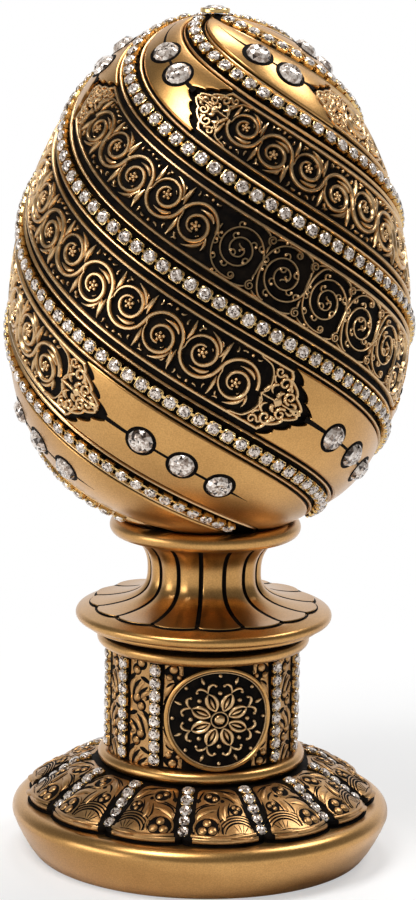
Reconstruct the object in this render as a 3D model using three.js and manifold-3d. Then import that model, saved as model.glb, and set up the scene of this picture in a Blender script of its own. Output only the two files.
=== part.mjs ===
// Egg sculpture on a round stand, a gift ornament in antique gold with black inlay and clear stones.
// Millimetres, +Z up, origin at the centre of the face that it rests on.
// Azimuth 0 is the front (-Y) and grows towards the right (+X).
import * as THREE from 'three';
import { mergeVertices } from 'three/addons/utils/BufferGeometryUtils.js';
import Module from 'manifold-3d';

const wasm = await Module();
wasm.setup();

// Clearances
const JOINT_GAP = 0.3;         // between two castings, face to face
const SEAT_GAP = 0.35;         // between the egg and its cup
const STONE_GAP = 0.3;         // under every stone, chain and medallion
const SPIGOT_GAP = 0.3;        // around and over a locating spigot

// Felt pad
const PAD_RADIUS = 42;
const PAD_THICKNESS = 1.0;
const PAD_SHOWING = 0.5;       // how far the pad stands out of the plinth

// Plinth
const PLINTH_FOOT_RADIUS = 45.8;
const PLINTH_RIM_RADIUS = 51.3;
const PLINTH_RIM_Z = 11.7;
const PLINTH_TOP_Z = 15.2;
const PLINTH_EDGE_ROUND = 3.4;

// Lobed skirt on the plinth
const LOBES = 13;
const LOBE_PHASE = -5.7;       // azimuth of one row of stones between two lobes
const LOBE_END_RADIUS = 47.0;
const LOBE_SCALLOP = 2.6;      // how much less the valleys reach out
const LOBE_LIP = 2.0;          // height of the lobe's steep outer end
const LOBE_PUFF = 1.5;         // how far a lobe swells above its valleys
const LOBE_UNDERCUT = 0.2;     // how far the plinth's top reaches out past a lobe's end
const SKIRT_CURVE = 1.7;       // how early the skirt rises on its way to the drum
const SKIRT_TOP_RADIUS = 29.0;
const SKIRT_TOP_Z = 25.2;
const ROW_STONES = 5;
const ROW_STONE_PITCH = 3.4;
const ROW_STONE_WIDTH = 3.4;
const ROW_STONE_HEIGHT = 2.3;
const ROW_CUP = 1.5;
const ROW_SINK = 0.9;          // depth of a row's back in the casting
const ROW_INNER_MARGIN = 0.6;  // from the skirt's top edge to the first stone

// Locating spigots between the castings
const SPIGOT_RADIUS = 12;
const SPIGOT_HEIGHT = 2;

// Drum
const DRUM_HEIGHT = 36.3;
const DRUM_WALL_RADIUS = 25.2;
const FOOT_RING_RADIUS = 28.2;
const FOOT_RING_HEIGHT = 3.6;
const TOP_RING_RADIUS = 28.8;
const TOP_RING_HEIGHT = 3.6;
const RING_CORNER = 0.3;       // share of a ring's height that its rounded corners take
const DRUM_SIDES = 30;

// Medallions on the drum
const MEDALLIONS = 2;
const MEDALLION_AZIMUTH = 10.3;
const MEDALLION_RADIUS = 14.2;
const MEDALLION_THICKNESS = 1.1;
const MEDALLION_RIM = 1.1;
const MEDALLION_RECESS = 0.5;
const MEDALLION_LIFT = 0.25;   // extra air behind the middle of the curved plate
const MEDALLION_SIDES = 18;

// Columns of stones on the drum, the same number on each side of a medallion
const COLUMNS_PER_SIDE = 5;
const COLUMN_FIRST_ANGLE = 39; // azimuth from the medallion's middle to the first column
const COLUMN_STEP_ANGLE = 25.5;
const COLUMN_STONES = 8;
const COLUMN_PITCH = 3.5;
const COLUMN_WIDTH = 3.0;
const COLUMN_CUP = 0.7;
const COLUMN_HEIGHT = 1.5;

// Spool with its cove, flange, flutes and collar
const COVE_RADIUS = 27.0;
const COVE_HEIGHT = 1.5;
const FLANGE_RADIUS = 34.7;
const FLANGE_UNDER_RADIUS = 32.0;
const FLANGE_THICKNESS = 5.4;
const FLANGE_EDGE_DRAW = 0.9;  // how far the rounded edge draws in towards its top
const FLUTES = 15;
const FLUTE_PHASE = -3.3;      // azimuth of one groove between two flutes
const FLUTE_FOOT_RADIUS = 30.2;
const FLUTE_SCALLOP = 1.0;
const FLUTE_STEP = 0.5;
const FLUTE_GROOVE = 0.55;
const FLUTE_EDGE = 0.14;       // share of a flute from its groove to its full height
const FLARE_REACH = 2.6;       // how late the flare spreads between the neck and the flutes' feet
const FLARE_DROP = 1.6;
const NECK_RADIUS = 14.9;
const NECK_RISE = 16.6;        // from the spool's foot to the narrowest place
const MOUTH_REACH = 2.2;       // how late the mouth spreads between the neck and the collar
const MOUTH_RISE = 1.5;
const COLLAR_RISE = 26.2;      // from the spool's foot to where the collar begins
const COLLAR_RADIUS = 25.8;
const COLLAR_ROUND = 2.4;
const COLLAR_OVERHANG = 0.6;   // of the collar's middle past the mouth's edge
const CUP_RISE = 28.1;         // from the spool's foot to the bottom of the cup

// Egg
const EGG_RADIUS = 54.0;
const EGG_DROP = 56.0;         // from the widest ring down to the bottom pole
const EGG_RISE = 81.0;         // from the widest ring up to the top pole
const EGG_LOW_FULLNESS = 0.73;
const EGG_HIGH_FULLNESS = 1.03;

// Helical bands of the egg, measured across the band from the middle of the chain's slot
const BANDS = 6;
const BAND_TWIST = 356;        // degrees that a band turns from pole to pole
const BAND_AZIMUTH = 25.8;     // azimuth of one slot at the widest ring
const SLOT_HALF = 2.35;
const SLOT_DEPTH = 1.7;
const RAIL_AT = 3.1;
const RAIL_DEPTH = 0.7;
const GROOVE_AT = 4.1;
const GROOVE_DEPTH = 1.6;
const FRAME_START = 4.9;
const FRAME_END = 6.2;
const FRAME_DEPTH = 0.6;
const PANEL_EDGE = 6.7;
const PANEL_DEPTH = 1.1;       // mean of a panel's relief
const BAND_FULL_HALF = 10;     // the borders draw in where half a band is narrower than this
const CARVED_FROM = [19, 25];  // along the meridian, where the relief fades in at the bottom pole
const CARVED_UNTIL = [3, 7];   // and where it fades out, measured from the top pole
const PANEL_BELOW = 18.6;      // along the meridian from the widest ring down to a panel's lower tip
const PANEL_ABOVE = 69.0;      // and up to its upper tip
const PANEL_POINT = 1.15;      // length of a panel's point for each unit of its half width
const PANEL_SLOPE = 2.5;       // run of the recess's sloping end
const FIRST_ROW = 10;          // along the meridian, the surface's first ring
const LAST_ROW_MARGIN = 2;
const ROW_STEP = 8.6;          // along the meridian between two rings of the surface
const ROW_STEP_AT_POLE = 1.8;
const ROW_STEP_GROWTH = 0.24;  // more step for each millimetre of the egg's radius

// Cup chains in the slots
const CHAIN_START = 29.5;      // along the meridian from the bottom pole
const CHAIN_END_MARGIN = 8.2;  // left free below the top pole
const CHAIN_PITCH = 4.26;
const CHAIN_WIDTH = 3.8;
const CHAIN_CUP = 1.1;
const CHAIN_HEIGHT = 2.0;

// Large stones on the plain ends of the bands, along the meridian from a panel's tip
const GEM_RADIUS = 3.4;
const GEM_TABLE = 2.0;
const GEM_HEIGHT = 1.7;
const GEM_SIDES = 7;
const LOW_GEMS = 3;
const LOW_GEM_FIRST = 5.9;
const LOW_GEM_PITCH = 6.6;
const HIGH_GEMS = 2;
const HIGH_GEM_FIRST = 4.6;
const HIGH_GEM_PITCH = 7.4;

// Bezel and stone at the top pole
const BEZEL_RADIUS = 3.9;
const BEZEL_WALL = 0.5;
const BEZEL_FLOOR = 0.5;
const BEZEL_HEIGHT = 1.2;
const BEZEL_SIDES = 16;
const POLE_GEM_TABLE = 1.9;
const POLE_GEM_HEIGHT = 1.2;

// Heights that follow from the sizes above
const footZ = PAD_SHOWING;
const drumZ = SKIRT_TOP_Z + JOINT_GAP;
const spoolZ = drumZ + DRUM_HEIGHT + JOINT_GAP;
const cupZ = spoolZ + CUP_RISE;
const eggBottomZ = cupZ + SEAT_GAP;
const eggWaistZ = eggBottomZ + EGG_DROP;
const eggTopZ = eggWaistZ + EGG_RISE;

// Materials
function gold(name, colour, roughness) {
  return new THREE.MeshStandardMaterial({ name, color: colour, roughness, metalness: 1 });
}
const satinGold = gold('satin_gold', 0xa9854e, 0.36);
const brightGold = gold('cup_gold', 0xc8a860, 0.3);
const clearStone = new THREE.MeshStandardMaterial({
  name: 'clear_stone', color: 0xe6e4e2, roughness: 0.08, metalness: 0,
});
const inlaidGold = gold('medallion_gold', 0x8a7046, 0.45);
const felt = new THREE.MeshStandardMaterial({
  name: 'felt', color: 0x17130f, roughness: 0.95, metalness: 0,
});

const rad = THREE.MathUtils.degToRad;
const lerp = THREE.MathUtils.lerp;
const smooth = THREE.MathUtils.smoothstep;
const object = new THREE.Group();

// A point at a radius, azimuth in degrees and height
function polar(radius, azimuth, z) {
  return new THREE.Vector3(radius * Math.sin(rad(azimuth)), -radius * Math.cos(rad(azimuth)), z);
}

function geometry(points, faces) {
  const made = new THREE.BufferGeometry();
  made.setAttribute('position', new THREE.Float32BufferAttribute(points.flatMap((p) => p.toArray()), 3));
  made.setIndex(faces.flat());
  made.computeVertexNormals();
  return made;
}

function addPiece(name, shape, material, azimuth = 0) {
  const mesh = new THREE.Mesh(shape, material);
  mesh.name = name;
  mesh.rotation.z = rad(azimuth);
  object.add(mesh);
  return mesh;
}

// Closed body through rings of equal length, from a bottom middle point to a top middle point
function ringBody(bottom, rings, top) {
  const count = rings[0].length;
  const points = [bottom, ...rings.flat(), top];
  const at = (ring, i) => 1 + ring * count + (i % count);
  const last = rings.length - 1;
  const faces = [];
  for (let i = 0; i < count; i += 1) {
    faces.push([0, at(0, i + 1), at(0, i)]);
    for (let ring = 0; ring < last; ring += 1) {
      faces.push([at(ring, i), at(ring, i + 1), at(ring + 1, i + 1)]);
      faces.push([at(ring, i), at(ring + 1, i + 1), at(ring + 1, i)]);
    }
    faces.push([points.length - 1, at(last, i), at(last, i + 1)]);
  }
  return geometry(points, faces);
}

// Body of revolution from [radius, z] pairs that run from the bottom middle to the top middle
function turned(profile, sides) {
  return new THREE.LatheGeometry(profile.map(([r, z]) => new THREE.Vector2(r, z)), sides)
    .rotateX(Math.PI / 2);
}

function toSolid(shape) {
  const bare = shape.clone();
  bare.deleteAttribute('normal');
  bare.deleteAttribute('uv');
  const merged = mergeVertices(bare, 1e-4);
  return new wasm.Manifold(new wasm.Mesh({
    numProp: 3,
    vertProperties: new Float32Array(merged.attributes.position.array),
    triVerts: new Uint32Array(merged.index.array),
  }));
}

function fromSolid(solid) {
  const mesh = solid.getMesh();
  const made = new THREE.BufferGeometry();
  made.setAttribute('position', new THREE.BufferAttribute(new Float32Array(mesh.vertProperties), 3));
  made.setIndex(new THREE.BufferAttribute(new Uint32Array(mesh.triVerts), 1));
  made.computeVertexNormals();
  return made;
}

// Strip of square cups, each with a pointed stone. Each joint has a place and an outward direction.
function stoneStrip(joints, width, cup, height) {
  const points = [];
  const faces = [];
  joints.forEach(({ place, out }, i) => {
    const before = joints[Math.max(i - 1, 0)].place;
    const after = joints[Math.min(i + 1, joints.length - 1)].place;
    const along = after.clone().sub(before).normalize();
    const across = along.clone().cross(out).setLength(width / 2);
    const rise = out.clone().setLength(cup);
    const low = [place.clone().sub(across), place.clone().add(across)];
    points.push(low[0], low[1], low[1].clone().add(rise), low[0].clone().add(rise));
  });
  const last = joints.length - 1;
  for (let i = 0; i < last; i += 1) {
    const [lb, rb, rt, lt] = [0, 1, 2, 3].map((k) => 4 * i + k);
    const [lb2, rb2, rt2, lt2] = [4, 5, 6, 7].map((k) => 4 * i + k);
    const middle = joints[i].place.clone().add(joints[i + 1].place).multiplyScalar(0.5);
    const out = joints[i].out.clone().add(joints[i + 1].out).setLength(height);
    const tip = points.push(middle.add(out)) - 1;
    faces.push([lt, rt, tip], [rt, rt2, tip], [rt2, lt2, tip], [lt2, lt, tip]);
    faces.push([lb, lb2, rb2], [lb, rb2, rb], [rb, rb2, rt2], [rb, rt2, rt]);
    faces.push([lb, lt, lt2], [lb, lt2, lb2]);
  }
  faces.push([0, 1, 2], [0, 2, 3]);
  faces.push([4 * last, 4 * last + 2, 4 * last + 1], [4 * last, 4 * last + 3, 4 * last + 2]);
  return geometry(points, faces);
}

// Round brilliant with a flat back, standing on z = 0
function gem(radius, table, height, sides) {
  return turned([[0, 0], [radius, 0], [table, height], [0, height]], sides);
}

// Felt pad
addPiece('felt_pad', turned([[0, 0], [PAD_RADIUS, 0], [PAD_RADIUS, PAD_THICKNESS], [0, PAD_THICKNESS]],
  DRUM_SIDES), felt);

// Skirt's reach and height for a phase, 0 in one valley and 1 in the next, and a share of the way up from
// the lobe's outer end to the drum
function lobeBump(phase) {
  return Math.sqrt(Math.abs(Math.sin(Math.PI * phase)));
}
function skirtPoint(phase, up) {
  const bump = lobeBump(phase);
  const end = LOBE_END_RADIUS - LOBE_SCALLOP * (1 - bump);
  const radius = lerp(end, SKIRT_TOP_RADIUS, up);
  const lipZ = PLINTH_TOP_Z + LOBE_LIP;
  const crown = lerp(lipZ, SKIRT_TOP_Z, 1 - (1 - up) ** SKIRT_CURVE);
  const puff = LOBE_PUFF * (bump - 1) * Math.sin(Math.PI * Math.min(up + 0.25, 1));
  return { radius, z: crown + puff };
}

function baseShape() {
  const phases = [0, 0.28, 0.72];
  const count = LOBES * phases.length;
  const phaseAt = (i) => phases[i % phases.length];
  const azimuthAt = (i) => LOBE_PHASE + (360 * (Math.floor(i / phases.length) + phaseAt(i))) / LOBES;
  const ring = (pick) => Array.from({ length: count }, (_, i) => {
    const { radius, z } = pick(phaseAt(i));
    return polar(radius, azimuthAt(i), z);
  });
  const plain = (radius, z) => ring(() => ({ radius, z }));
  const recessZ = PAD_THICKNESS + STONE_GAP;
  const recessRadius = PAD_RADIUS + STONE_GAP;
  const round = PLINTH_EDGE_ROUND;
  const rings = [
    plain(recessRadius, recessZ),
    plain(recessRadius, footZ),
    plain(PLINTH_FOOT_RADIUS, footZ),
    plain(lerp(PLINTH_FOOT_RADIUS, PLINTH_RIM_RADIUS, 0.68), lerp(footZ, PLINTH_RIM_Z, 0.55)),
    plain(PLINTH_RIM_RADIUS, PLINTH_RIM_Z),
    plain(PLINTH_RIM_RADIUS - round * 0.3, lerp(PLINTH_RIM_Z, PLINTH_TOP_Z, 0.7)),
    plain(PLINTH_RIM_RADIUS - round, PLINTH_TOP_Z),
    ring((phase) => ({ radius: skirtPoint(phase, 0).radius + LOBE_UNDERCUT, z: PLINTH_TOP_Z })),
    ...[0, 0.12, 0.32, 0.55, 0.78, 1].map((up) => ring((phase) => skirtPoint(phase, up))),
    plain(SPIGOT_RADIUS, SKIRT_TOP_Z),
    plain(SPIGOT_RADIUS, SKIRT_TOP_Z + SPIGOT_HEIGHT),
  ];
  const bottom = new THREE.Vector3(0, 0, recessZ);
  return ringBody(bottom, rings, new THREE.Vector3(0, 0, SKIRT_TOP_Z + SPIGOT_HEIGHT));
}

// Row of stones in a valley of the skirt, at an even pitch down the slope from its inner end, standing
// in the casting by a part of its cups
function skirtRow() {
  const joints = [];
  let up = 1;
  let travelled = -ROW_INNER_MARGIN;
  while (joints.length <= ROW_STONES) {
    const here = skirtPoint(0, up);
    const next = skirtPoint(0, up - 0.005);
    const step = Math.hypot(next.radius - here.radius, next.z - here.z);
    if (travelled >= joints.length * ROW_STONE_PITCH) {
      const slope = new THREE.Vector2(next.radius - here.radius, here.z - next.z).divideScalar(step);
      joints.push({
        place: polar(here.radius - slope.y * ROW_SINK, 0, here.z - slope.x * ROW_SINK),
        out: polar(slope.y, 0, slope.x),
      });
    }
    travelled += step;
    up -= 0.005;
  }
  return stoneStrip(joints, ROW_STONE_WIDTH, ROW_CUP, ROW_STONE_HEIGHT);
}

function baseCasting() {
  let solid = toSolid(baseShape());
  const row = toSolid(skirtRow());
  for (let i = 0; i < LOBES; i += 1) {
    solid = solid.add(row.rotate([0, 0, LOBE_PHASE + (360 * i) / LOBES]));
  }
  return fromSolid(solid);
}
addPiece('base_casting', baseCasting(), satinGold);

// Drum casting, with a socket below for the base's spigot and a spigot above
const ringProfile = (radius, wall, low, height) => [
  [wall, low],
  [radius - height * RING_CORNER, low],
  [radius, low + height * RING_CORNER],
  [radius, low + height * (1 - RING_CORNER)],
  [radius - height * RING_CORNER, low + height],
  [wall, low + height],
];
const socketRadius = SPIGOT_RADIUS + SPIGOT_GAP;
const socketDepth = SPIGOT_HEIGHT + SPIGOT_GAP;
const drumTopZ = drumZ + DRUM_HEIGHT;
addPiece('drum_casting', turned([
  [0, drumZ + socketDepth - JOINT_GAP], [socketRadius, drumZ + socketDepth - JOINT_GAP],
  [socketRadius, drumZ],
  ...ringProfile(FOOT_RING_RADIUS, DRUM_WALL_RADIUS, drumZ, FOOT_RING_HEIGHT).slice(1),
  ...ringProfile(TOP_RING_RADIUS, DRUM_WALL_RADIUS, drumTopZ - TOP_RING_HEIGHT, TOP_RING_HEIGHT)
    .slice(0, -1),
  [SPIGOT_RADIUS, drumTopZ], [SPIGOT_RADIUS, drumTopZ + SPIGOT_HEIGHT],
  [0, drumTopZ + SPIGOT_HEIGHT],
], DRUM_SIDES), satinGold);

// Medallion, a thin round plate bent to the drum, with a raised rim
const wallMidZ = (drumZ + FOOT_RING_HEIGHT + drumTopZ - TOP_RING_HEIGHT) / 2;
function medallionShape() {
  const sides = MEDALLION_SIDES;
  const back = DRUM_WALL_RADIUS + STONE_GAP + MEDALLION_LIFT;
  const field = back + MEDALLION_THICKNESS - MEDALLION_RECESS;
  const front = back + MEDALLION_THICKNESS;
  const inner = MEDALLION_RADIUS - MEDALLION_RIM;
  const bend = (reach, turn, radius) => polar(radius,
    THREE.MathUtils.radToDeg((reach * Math.cos(turn)) / DRUM_WALL_RADIUS),
    wallMidZ + reach * Math.sin(turn));
  const ring = (reach, radius) => Array.from({ length: sides },
    (_, i) => bend(reach, (2 * Math.PI * i) / sides, radius));
  return ringBody(bend(0, 0, back), [
    ring(MEDALLION_RADIUS / 2, back),
    ring(MEDALLION_RADIUS, back),
    ring(MEDALLION_RADIUS, front),
    ring(inner, front),
    ring(inner, field),
    ring(inner / 2, field),
  ], bend(0, 0, field));
}
const medallion = medallionShape();
for (let i = 0; i < MEDALLIONS; i += 1) {
  const side = i === 0 ? 'front' : 'back';
  addPiece(`medallion_${side}`, medallion, inlaidGold, MEDALLION_AZIMUTH + (360 * i) / MEDALLIONS);
}

// Columns of stones on the drum
function columnShape() {
  const joints = [];
  for (let i = 0; i <= COLUMN_STONES; i += 1) {
    const z = wallMidZ + (i - COLUMN_STONES / 2) * COLUMN_PITCH;
    joints.push({ place: polar(DRUM_WALL_RADIUS + STONE_GAP, 0, z), out: polar(1, 0, 0) });
  }
  return stoneStrip(joints, COLUMN_WIDTH, COLUMN_CUP, COLUMN_HEIGHT);
}
const column = columnShape();
for (let i = 0; i < COLUMNS_PER_SIDE; i += 1) {
  const away = COLUMN_FIRST_ANGLE + i * COLUMN_STEP_ANGLE;
  addPiece(`drum_stones_right_${i + 1}`, column, clearStone, MEDALLION_AZIMUTH + away);
  addPiece(`drum_stones_left_${i + 1}`, column, clearStone, MEDALLION_AZIMUTH - away);
}

// Meridian of the egg from the bottom pole (latitude -90) to the top pole (latitude 90)
function eggSection(latitude) {
  const high = latitude > 0;
  const fullness = high ? EGG_HIGH_FULLNESS : EGG_LOW_FULLNESS;
  const radius = EGG_RADIUS * Math.max(Math.cos(rad(latitude)), 0) ** fullness;
  return [radius, eggWaistZ + (high ? EGG_RISE : EGG_DROP) * Math.sin(rad(latitude))];
}
const meridian = [{ along: 0, radius: 0, z: eggBottomZ }];
for (let i = 1; i <= 1440; i += 1) {
  const [radius, z] = eggSection(-90 + i / 8);
  const before = meridian[i - 1];
  const along = before.along + Math.hypot(radius - before.radius, z - before.z);
  meridian.push({ along, radius, z });
}
const meridianLength = meridian[1440].along;
const waistAlong = meridian[720].along;

// Place on the meridian at a distance from the bottom pole, with its outward normal
function onMeridian(along) {
  let low = 0;
  let high = meridian.length - 1;
  while (high - low > 1) {
    const middle = (low + high) >> 1;
    if (meridian[middle].along < along) low = middle;
    else high = middle;
  }
  const [a, b] = [meridian[low], meridian[high]];
  const share = (along - a.along) / (b.along - a.along);
  const step = b.along - a.along;
  return {
    radius: lerp(a.radius, b.radius, share),
    z: lerp(a.z, b.z, share),
    outward: (b.z - a.z) / step,
    upward: (a.radius - b.radius) / step,
  };
}

// Height of the egg's underside over a ring of the cup
function undersideZ(radius) {
  const cosine = Math.min(radius / EGG_RADIUS, 1) ** (1 / EGG_LOW_FULLNESS);
  return eggWaistZ - EGG_DROP * Math.sqrt(1 - cosine * cosine);
}

// Spool casting: the share of the way across a flute sets how far its face stands out
const collarMidRadius = COLLAR_RADIUS - COLLAR_ROUND;
const collarMidZ = undersideZ(collarMidRadius) - SEAT_GAP - COLLAR_ROUND;
function spoolShape() {
  const perFlute = 3;
  const count = FLUTES * perFlute;
  const azimuthAt = (i) => {
    const flute = Math.floor(i / perFlute);
    const inside = [0, FLUTE_EDGE, 1 - FLUTE_EDGE][i % perFlute];
    return FLUTE_PHASE + (360 * (flute + inside)) / FLUTES;
  };
  const plain = (radius, z) => Array.from({ length: count }, (_, i) => polar(radius, azimuthAt(i), z));
  const fluted = (radius, z, scallop) => Array.from({ length: count }, (_, i) => {
    const cut = i % perFlute === 0 ? FLUTE_GROOVE + scallop : 0;
    return polar(radius - cut, azimuthAt(i), z);
  });
  const flangeZ = spoolZ + COVE_HEIGHT;
  const flangeTopZ = flangeZ + FLANGE_THICKNESS;
  const neckZ = spoolZ + NECK_RISE;
  const collarZ = spoolZ + COLLAR_RISE;
  const flare = (share) => [
    NECK_RADIUS + (FLUTE_FOOT_RADIUS - NECK_RADIUS) * share ** FLARE_REACH,
    neckZ - (neckZ - flangeTopZ - FLUTE_STEP) * (1 - (1 - share) ** FLARE_DROP),
  ];
  const mouth = (share) => [
    NECK_RADIUS + (collarMidRadius - COLLAR_OVERHANG - NECK_RADIUS) * share ** MOUTH_REACH,
    neckZ + (collarZ - neckZ) * (1 - (1 - share) ** MOUTH_RISE),
  ];
  const torus = (angle) => plain(collarMidRadius + COLLAR_ROUND * Math.cos(rad(angle)),
    collarMidZ + COLLAR_ROUND * Math.sin(rad(angle)));
  const socketZ = spoolZ + socketDepth - JOINT_GAP;
  const rings = [
    plain(socketRadius, socketZ),
    plain(socketRadius, spoolZ),
    plain(COVE_RADIUS, spoolZ),
    plain(COVE_RADIUS, flangeZ),
    plain(FLANGE_UNDER_RADIUS, flangeZ),
    plain(FLANGE_RADIUS, flangeZ + FLANGE_THICKNESS * 0.5),
    plain(FLANGE_RADIUS - FLANGE_EDGE_DRAW, flangeZ + FLANGE_THICKNESS * 0.76),
    fluted(FLUTE_FOOT_RADIUS, flangeTopZ, FLUTE_SCALLOP),
    ...[1, 0.75, 0.45].map((share) => fluted(...flare(share), share === 1 ? FLUTE_SCALLOP : 0)),
    fluted(NECK_RADIUS, neckZ, 0),
    ...[0.45, 0.8, 1].map((share) => fluted(...mouth(share), 0)),
    torus(-10),
    torus(40),
    torus(90),
    torus(150),
    ...[0.78, 0.4].map((share) => {
      const radius = (collarMidRadius - COLLAR_ROUND) * share;
      return plain(radius, undersideZ(radius) - SEAT_GAP);
    }),
  ];
  return ringBody(new THREE.Vector3(0, 0, socketZ), rings, new THREE.Vector3(0, 0, cupZ));
}
addPiece('spool_casting', spoolShape(), satinGold);

// Direction of a band: the slot's azimuth at a distance along the meridian, and how steep it lies
const twistPerMm = BAND_TWIST / meridianLength;
const slotAzimuth = (along) => BAND_AZIMUTH - twistPerMm * (along - waistAlong);
function steepness(radius) {
  return 1 / Math.hypot(1, radius * rad(twistPerMm));
}
const halfBand = (radius) => (Math.PI / BANDS) * radius * steepness(radius);

// Place on a band: along the meridian, and across the band from its lower slot, at a depth
function bandPoint(along, across, depth) {
  const { radius, z, outward, upward } = onMeridian(along);
  const turn = THREE.MathUtils.radToDeg(across / (radius * steepness(radius)));
  return polar(radius - depth * outward, slotAzimuth(along) + turn, z - depth * upward);
}

const panelLowTip = waistAlong - PANEL_BELOW;
const panelHighTip = waistAlong + PANEL_ABOVE;

// Share of the panel's full depth at a place on a band, with a point at each end
function panelShare(along, across) {
  const { radius } = onMeridian(along);
  const steep = steepness(radius);
  const offset = across - halfBand(radius);
  const slide = (offset / steep) * Math.sqrt(1 - steep * steep);
  const point = Math.abs(offset) * PANEL_POINT;
  const low = (along - panelLowTip) / steep - slide - point;
  const high = (panelHighTip - along) / steep + slide - point;
  return smooth(Math.min(low, high), 0, PANEL_SLOPE);
}

// Borders of a band on one side of the slot's middle: distance across, and depth below the crest
function borders(radius) {
  const half = halfBand(radius);
  const squeeze = Math.min(1, (half - SLOT_HALF) / (BAND_FULL_HALF - SLOT_HALF));
  const place = (at) => SLOT_HALF + (at - SLOT_HALF) * Math.max(squeeze, 0.05);
  return {
    slot: Math.min(SLOT_HALF, half * 0.8),
    rail: place(RAIL_AT),
    groove: place(GROOVE_AT),
    frameStart: place(FRAME_START),
    frameEnd: place(FRAME_END),
    panel: place(PANEL_EDGE),
    half,
  };
}

function eggRing(along) {
  const { radius } = onMeridian(along);
  const b = borders(radius);
  const fade = smooth(along, ...CARVED_FROM) * smooth(meridianLength - along, ...CARVED_UNTIL);
  const crown = (across) => {
    const share = (across - b.half) / b.half;
    return FRAME_DEPTH * Math.min(share * share, 1);
  };
  const floor = (across) => crown(across) + (PANEL_DEPTH - FRAME_DEPTH) * panelShare(along, across);
  const right = [
    [b.slot, SLOT_DEPTH], [b.rail, RAIL_DEPTH], [b.groove, GROOVE_DEPTH],
    [b.frameStart, FRAME_DEPTH], [b.frameEnd, FRAME_DEPTH * 0.8], [b.panel, floor(b.panel)],
  ];
  const left = right.slice().reverse().map(([across, depth], i) => (
    [2 * b.half - across, i === 0 ? floor(2 * b.half - across) : depth]));
  const across = [...right, [b.half, floor(b.half)], ...left];
  const ring = [];
  for (let band = 0; band < BANDS; band += 1) {
    const turn = new THREE.Matrix4().makeRotationZ((2 * Math.PI * band) / BANDS);
    across.forEach(([at, depth]) => ring.push(bandPoint(along, at, depth * fade).applyMatrix4(turn)));
  }
  return ring;
}

function eggShape() {
  const rings = [];
  let along = FIRST_ROW;
  while (along < meridianLength - LAST_ROW_MARGIN) {
    rings.push(eggRing(along));
    along += Math.min(ROW_STEP, ROW_STEP_AT_POLE + ROW_STEP_GROWTH * onMeridian(along).radius);
  }
  return ringBody(new THREE.Vector3(0, 0, eggBottomZ), rings, new THREE.Vector3(0, 0, eggTopZ));
}
addPiece('egg_casting', eggShape(), satinGold);

// Cup chain in a slot: joints at an even pitch along the helix
function chainShape() {
  const joints = [];
  const end = meridianLength - CHAIN_END_MARGIN;
  let along = CHAIN_START;
  while (along < end) {
    const { outward, upward, radius } = onMeridian(along);
    joints.push({
      place: bandPoint(along, 0, SLOT_DEPTH - STONE_GAP),
      out: polar(outward, slotAzimuth(along), upward),
    });
    along += CHAIN_PITCH * steepness(radius);
  }
  return stoneStrip(joints, CHAIN_WIDTH, CHAIN_CUP, CHAIN_HEIGHT);
}
const chain = chainShape();
for (let i = 0; i < BANDS; i += 1) {
  addPiece(`egg_chain_${i + 1}`, chain, brightGold, (360 * i) / BANDS);
}

// Large stones along the middle of each band's plain ends
const roundGem = gem(GEM_RADIUS, GEM_TABLE, GEM_HEIGHT, GEM_SIDES);
const UP = new THREE.Vector3(0, 0, 1);
function placeGem(name, along, band) {
  const { radius, outward, upward } = onMeridian(along);
  const place = bandPoint(along, halfBand(radius), -STONE_GAP);
  const azimuth = THREE.MathUtils.radToDeg(Math.atan2(place.x, -place.y));
  const holder = new THREE.Group();
  holder.rotation.z = (2 * Math.PI * band) / BANDS;
  const mesh = new THREE.Mesh(roundGem, clearStone);
  mesh.name = name;
  mesh.position.copy(place);
  mesh.quaternion.setFromUnitVectors(UP, polar(outward, azimuth, upward).normalize());
  holder.add(mesh);
  object.add(holder);
}
for (let band = 0; band < BANDS; band += 1) {
  for (let i = 0; i < LOW_GEMS; i += 1) {
    placeGem(`low_stone_${band + 1}_${i + 1}`, panelLowTip - LOW_GEM_FIRST - i * LOW_GEM_PITCH, band);
  }
  for (let i = 0; i < HIGH_GEMS; i += 1) {
    placeGem(`high_stone_${band + 1}_${i + 1}`, panelHighTip + HIGH_GEM_FIRST + i * HIGH_GEM_PITCH, band);
  }
}

// Bezel cup and stone at the top pole
const bezelZ = eggTopZ + STONE_GAP;
const bezelInner = BEZEL_RADIUS - BEZEL_WALL;
addPiece('pole_bezel', turned([
  [0, bezelZ], [BEZEL_RADIUS, bezelZ], [BEZEL_RADIUS, bezelZ + BEZEL_HEIGHT],
  [bezelInner, bezelZ + BEZEL_HEIGHT], [bezelInner, bezelZ + BEZEL_FLOOR], [0, bezelZ + BEZEL_FLOOR],
], BEZEL_SIDES), brightGold);
const poleGem = addPiece('pole_stone',
  gem(bezelInner - STONE_GAP, POLE_GEM_TABLE, POLE_GEM_HEIGHT, GEM_SIDES), clearStone);
poleGem.position.z = bezelZ + BEZEL_FLOOR + STONE_GAP;

export default object;
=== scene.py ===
import math

import bpy
import numpy as np
from mathutils import Matrix, Vector

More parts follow.
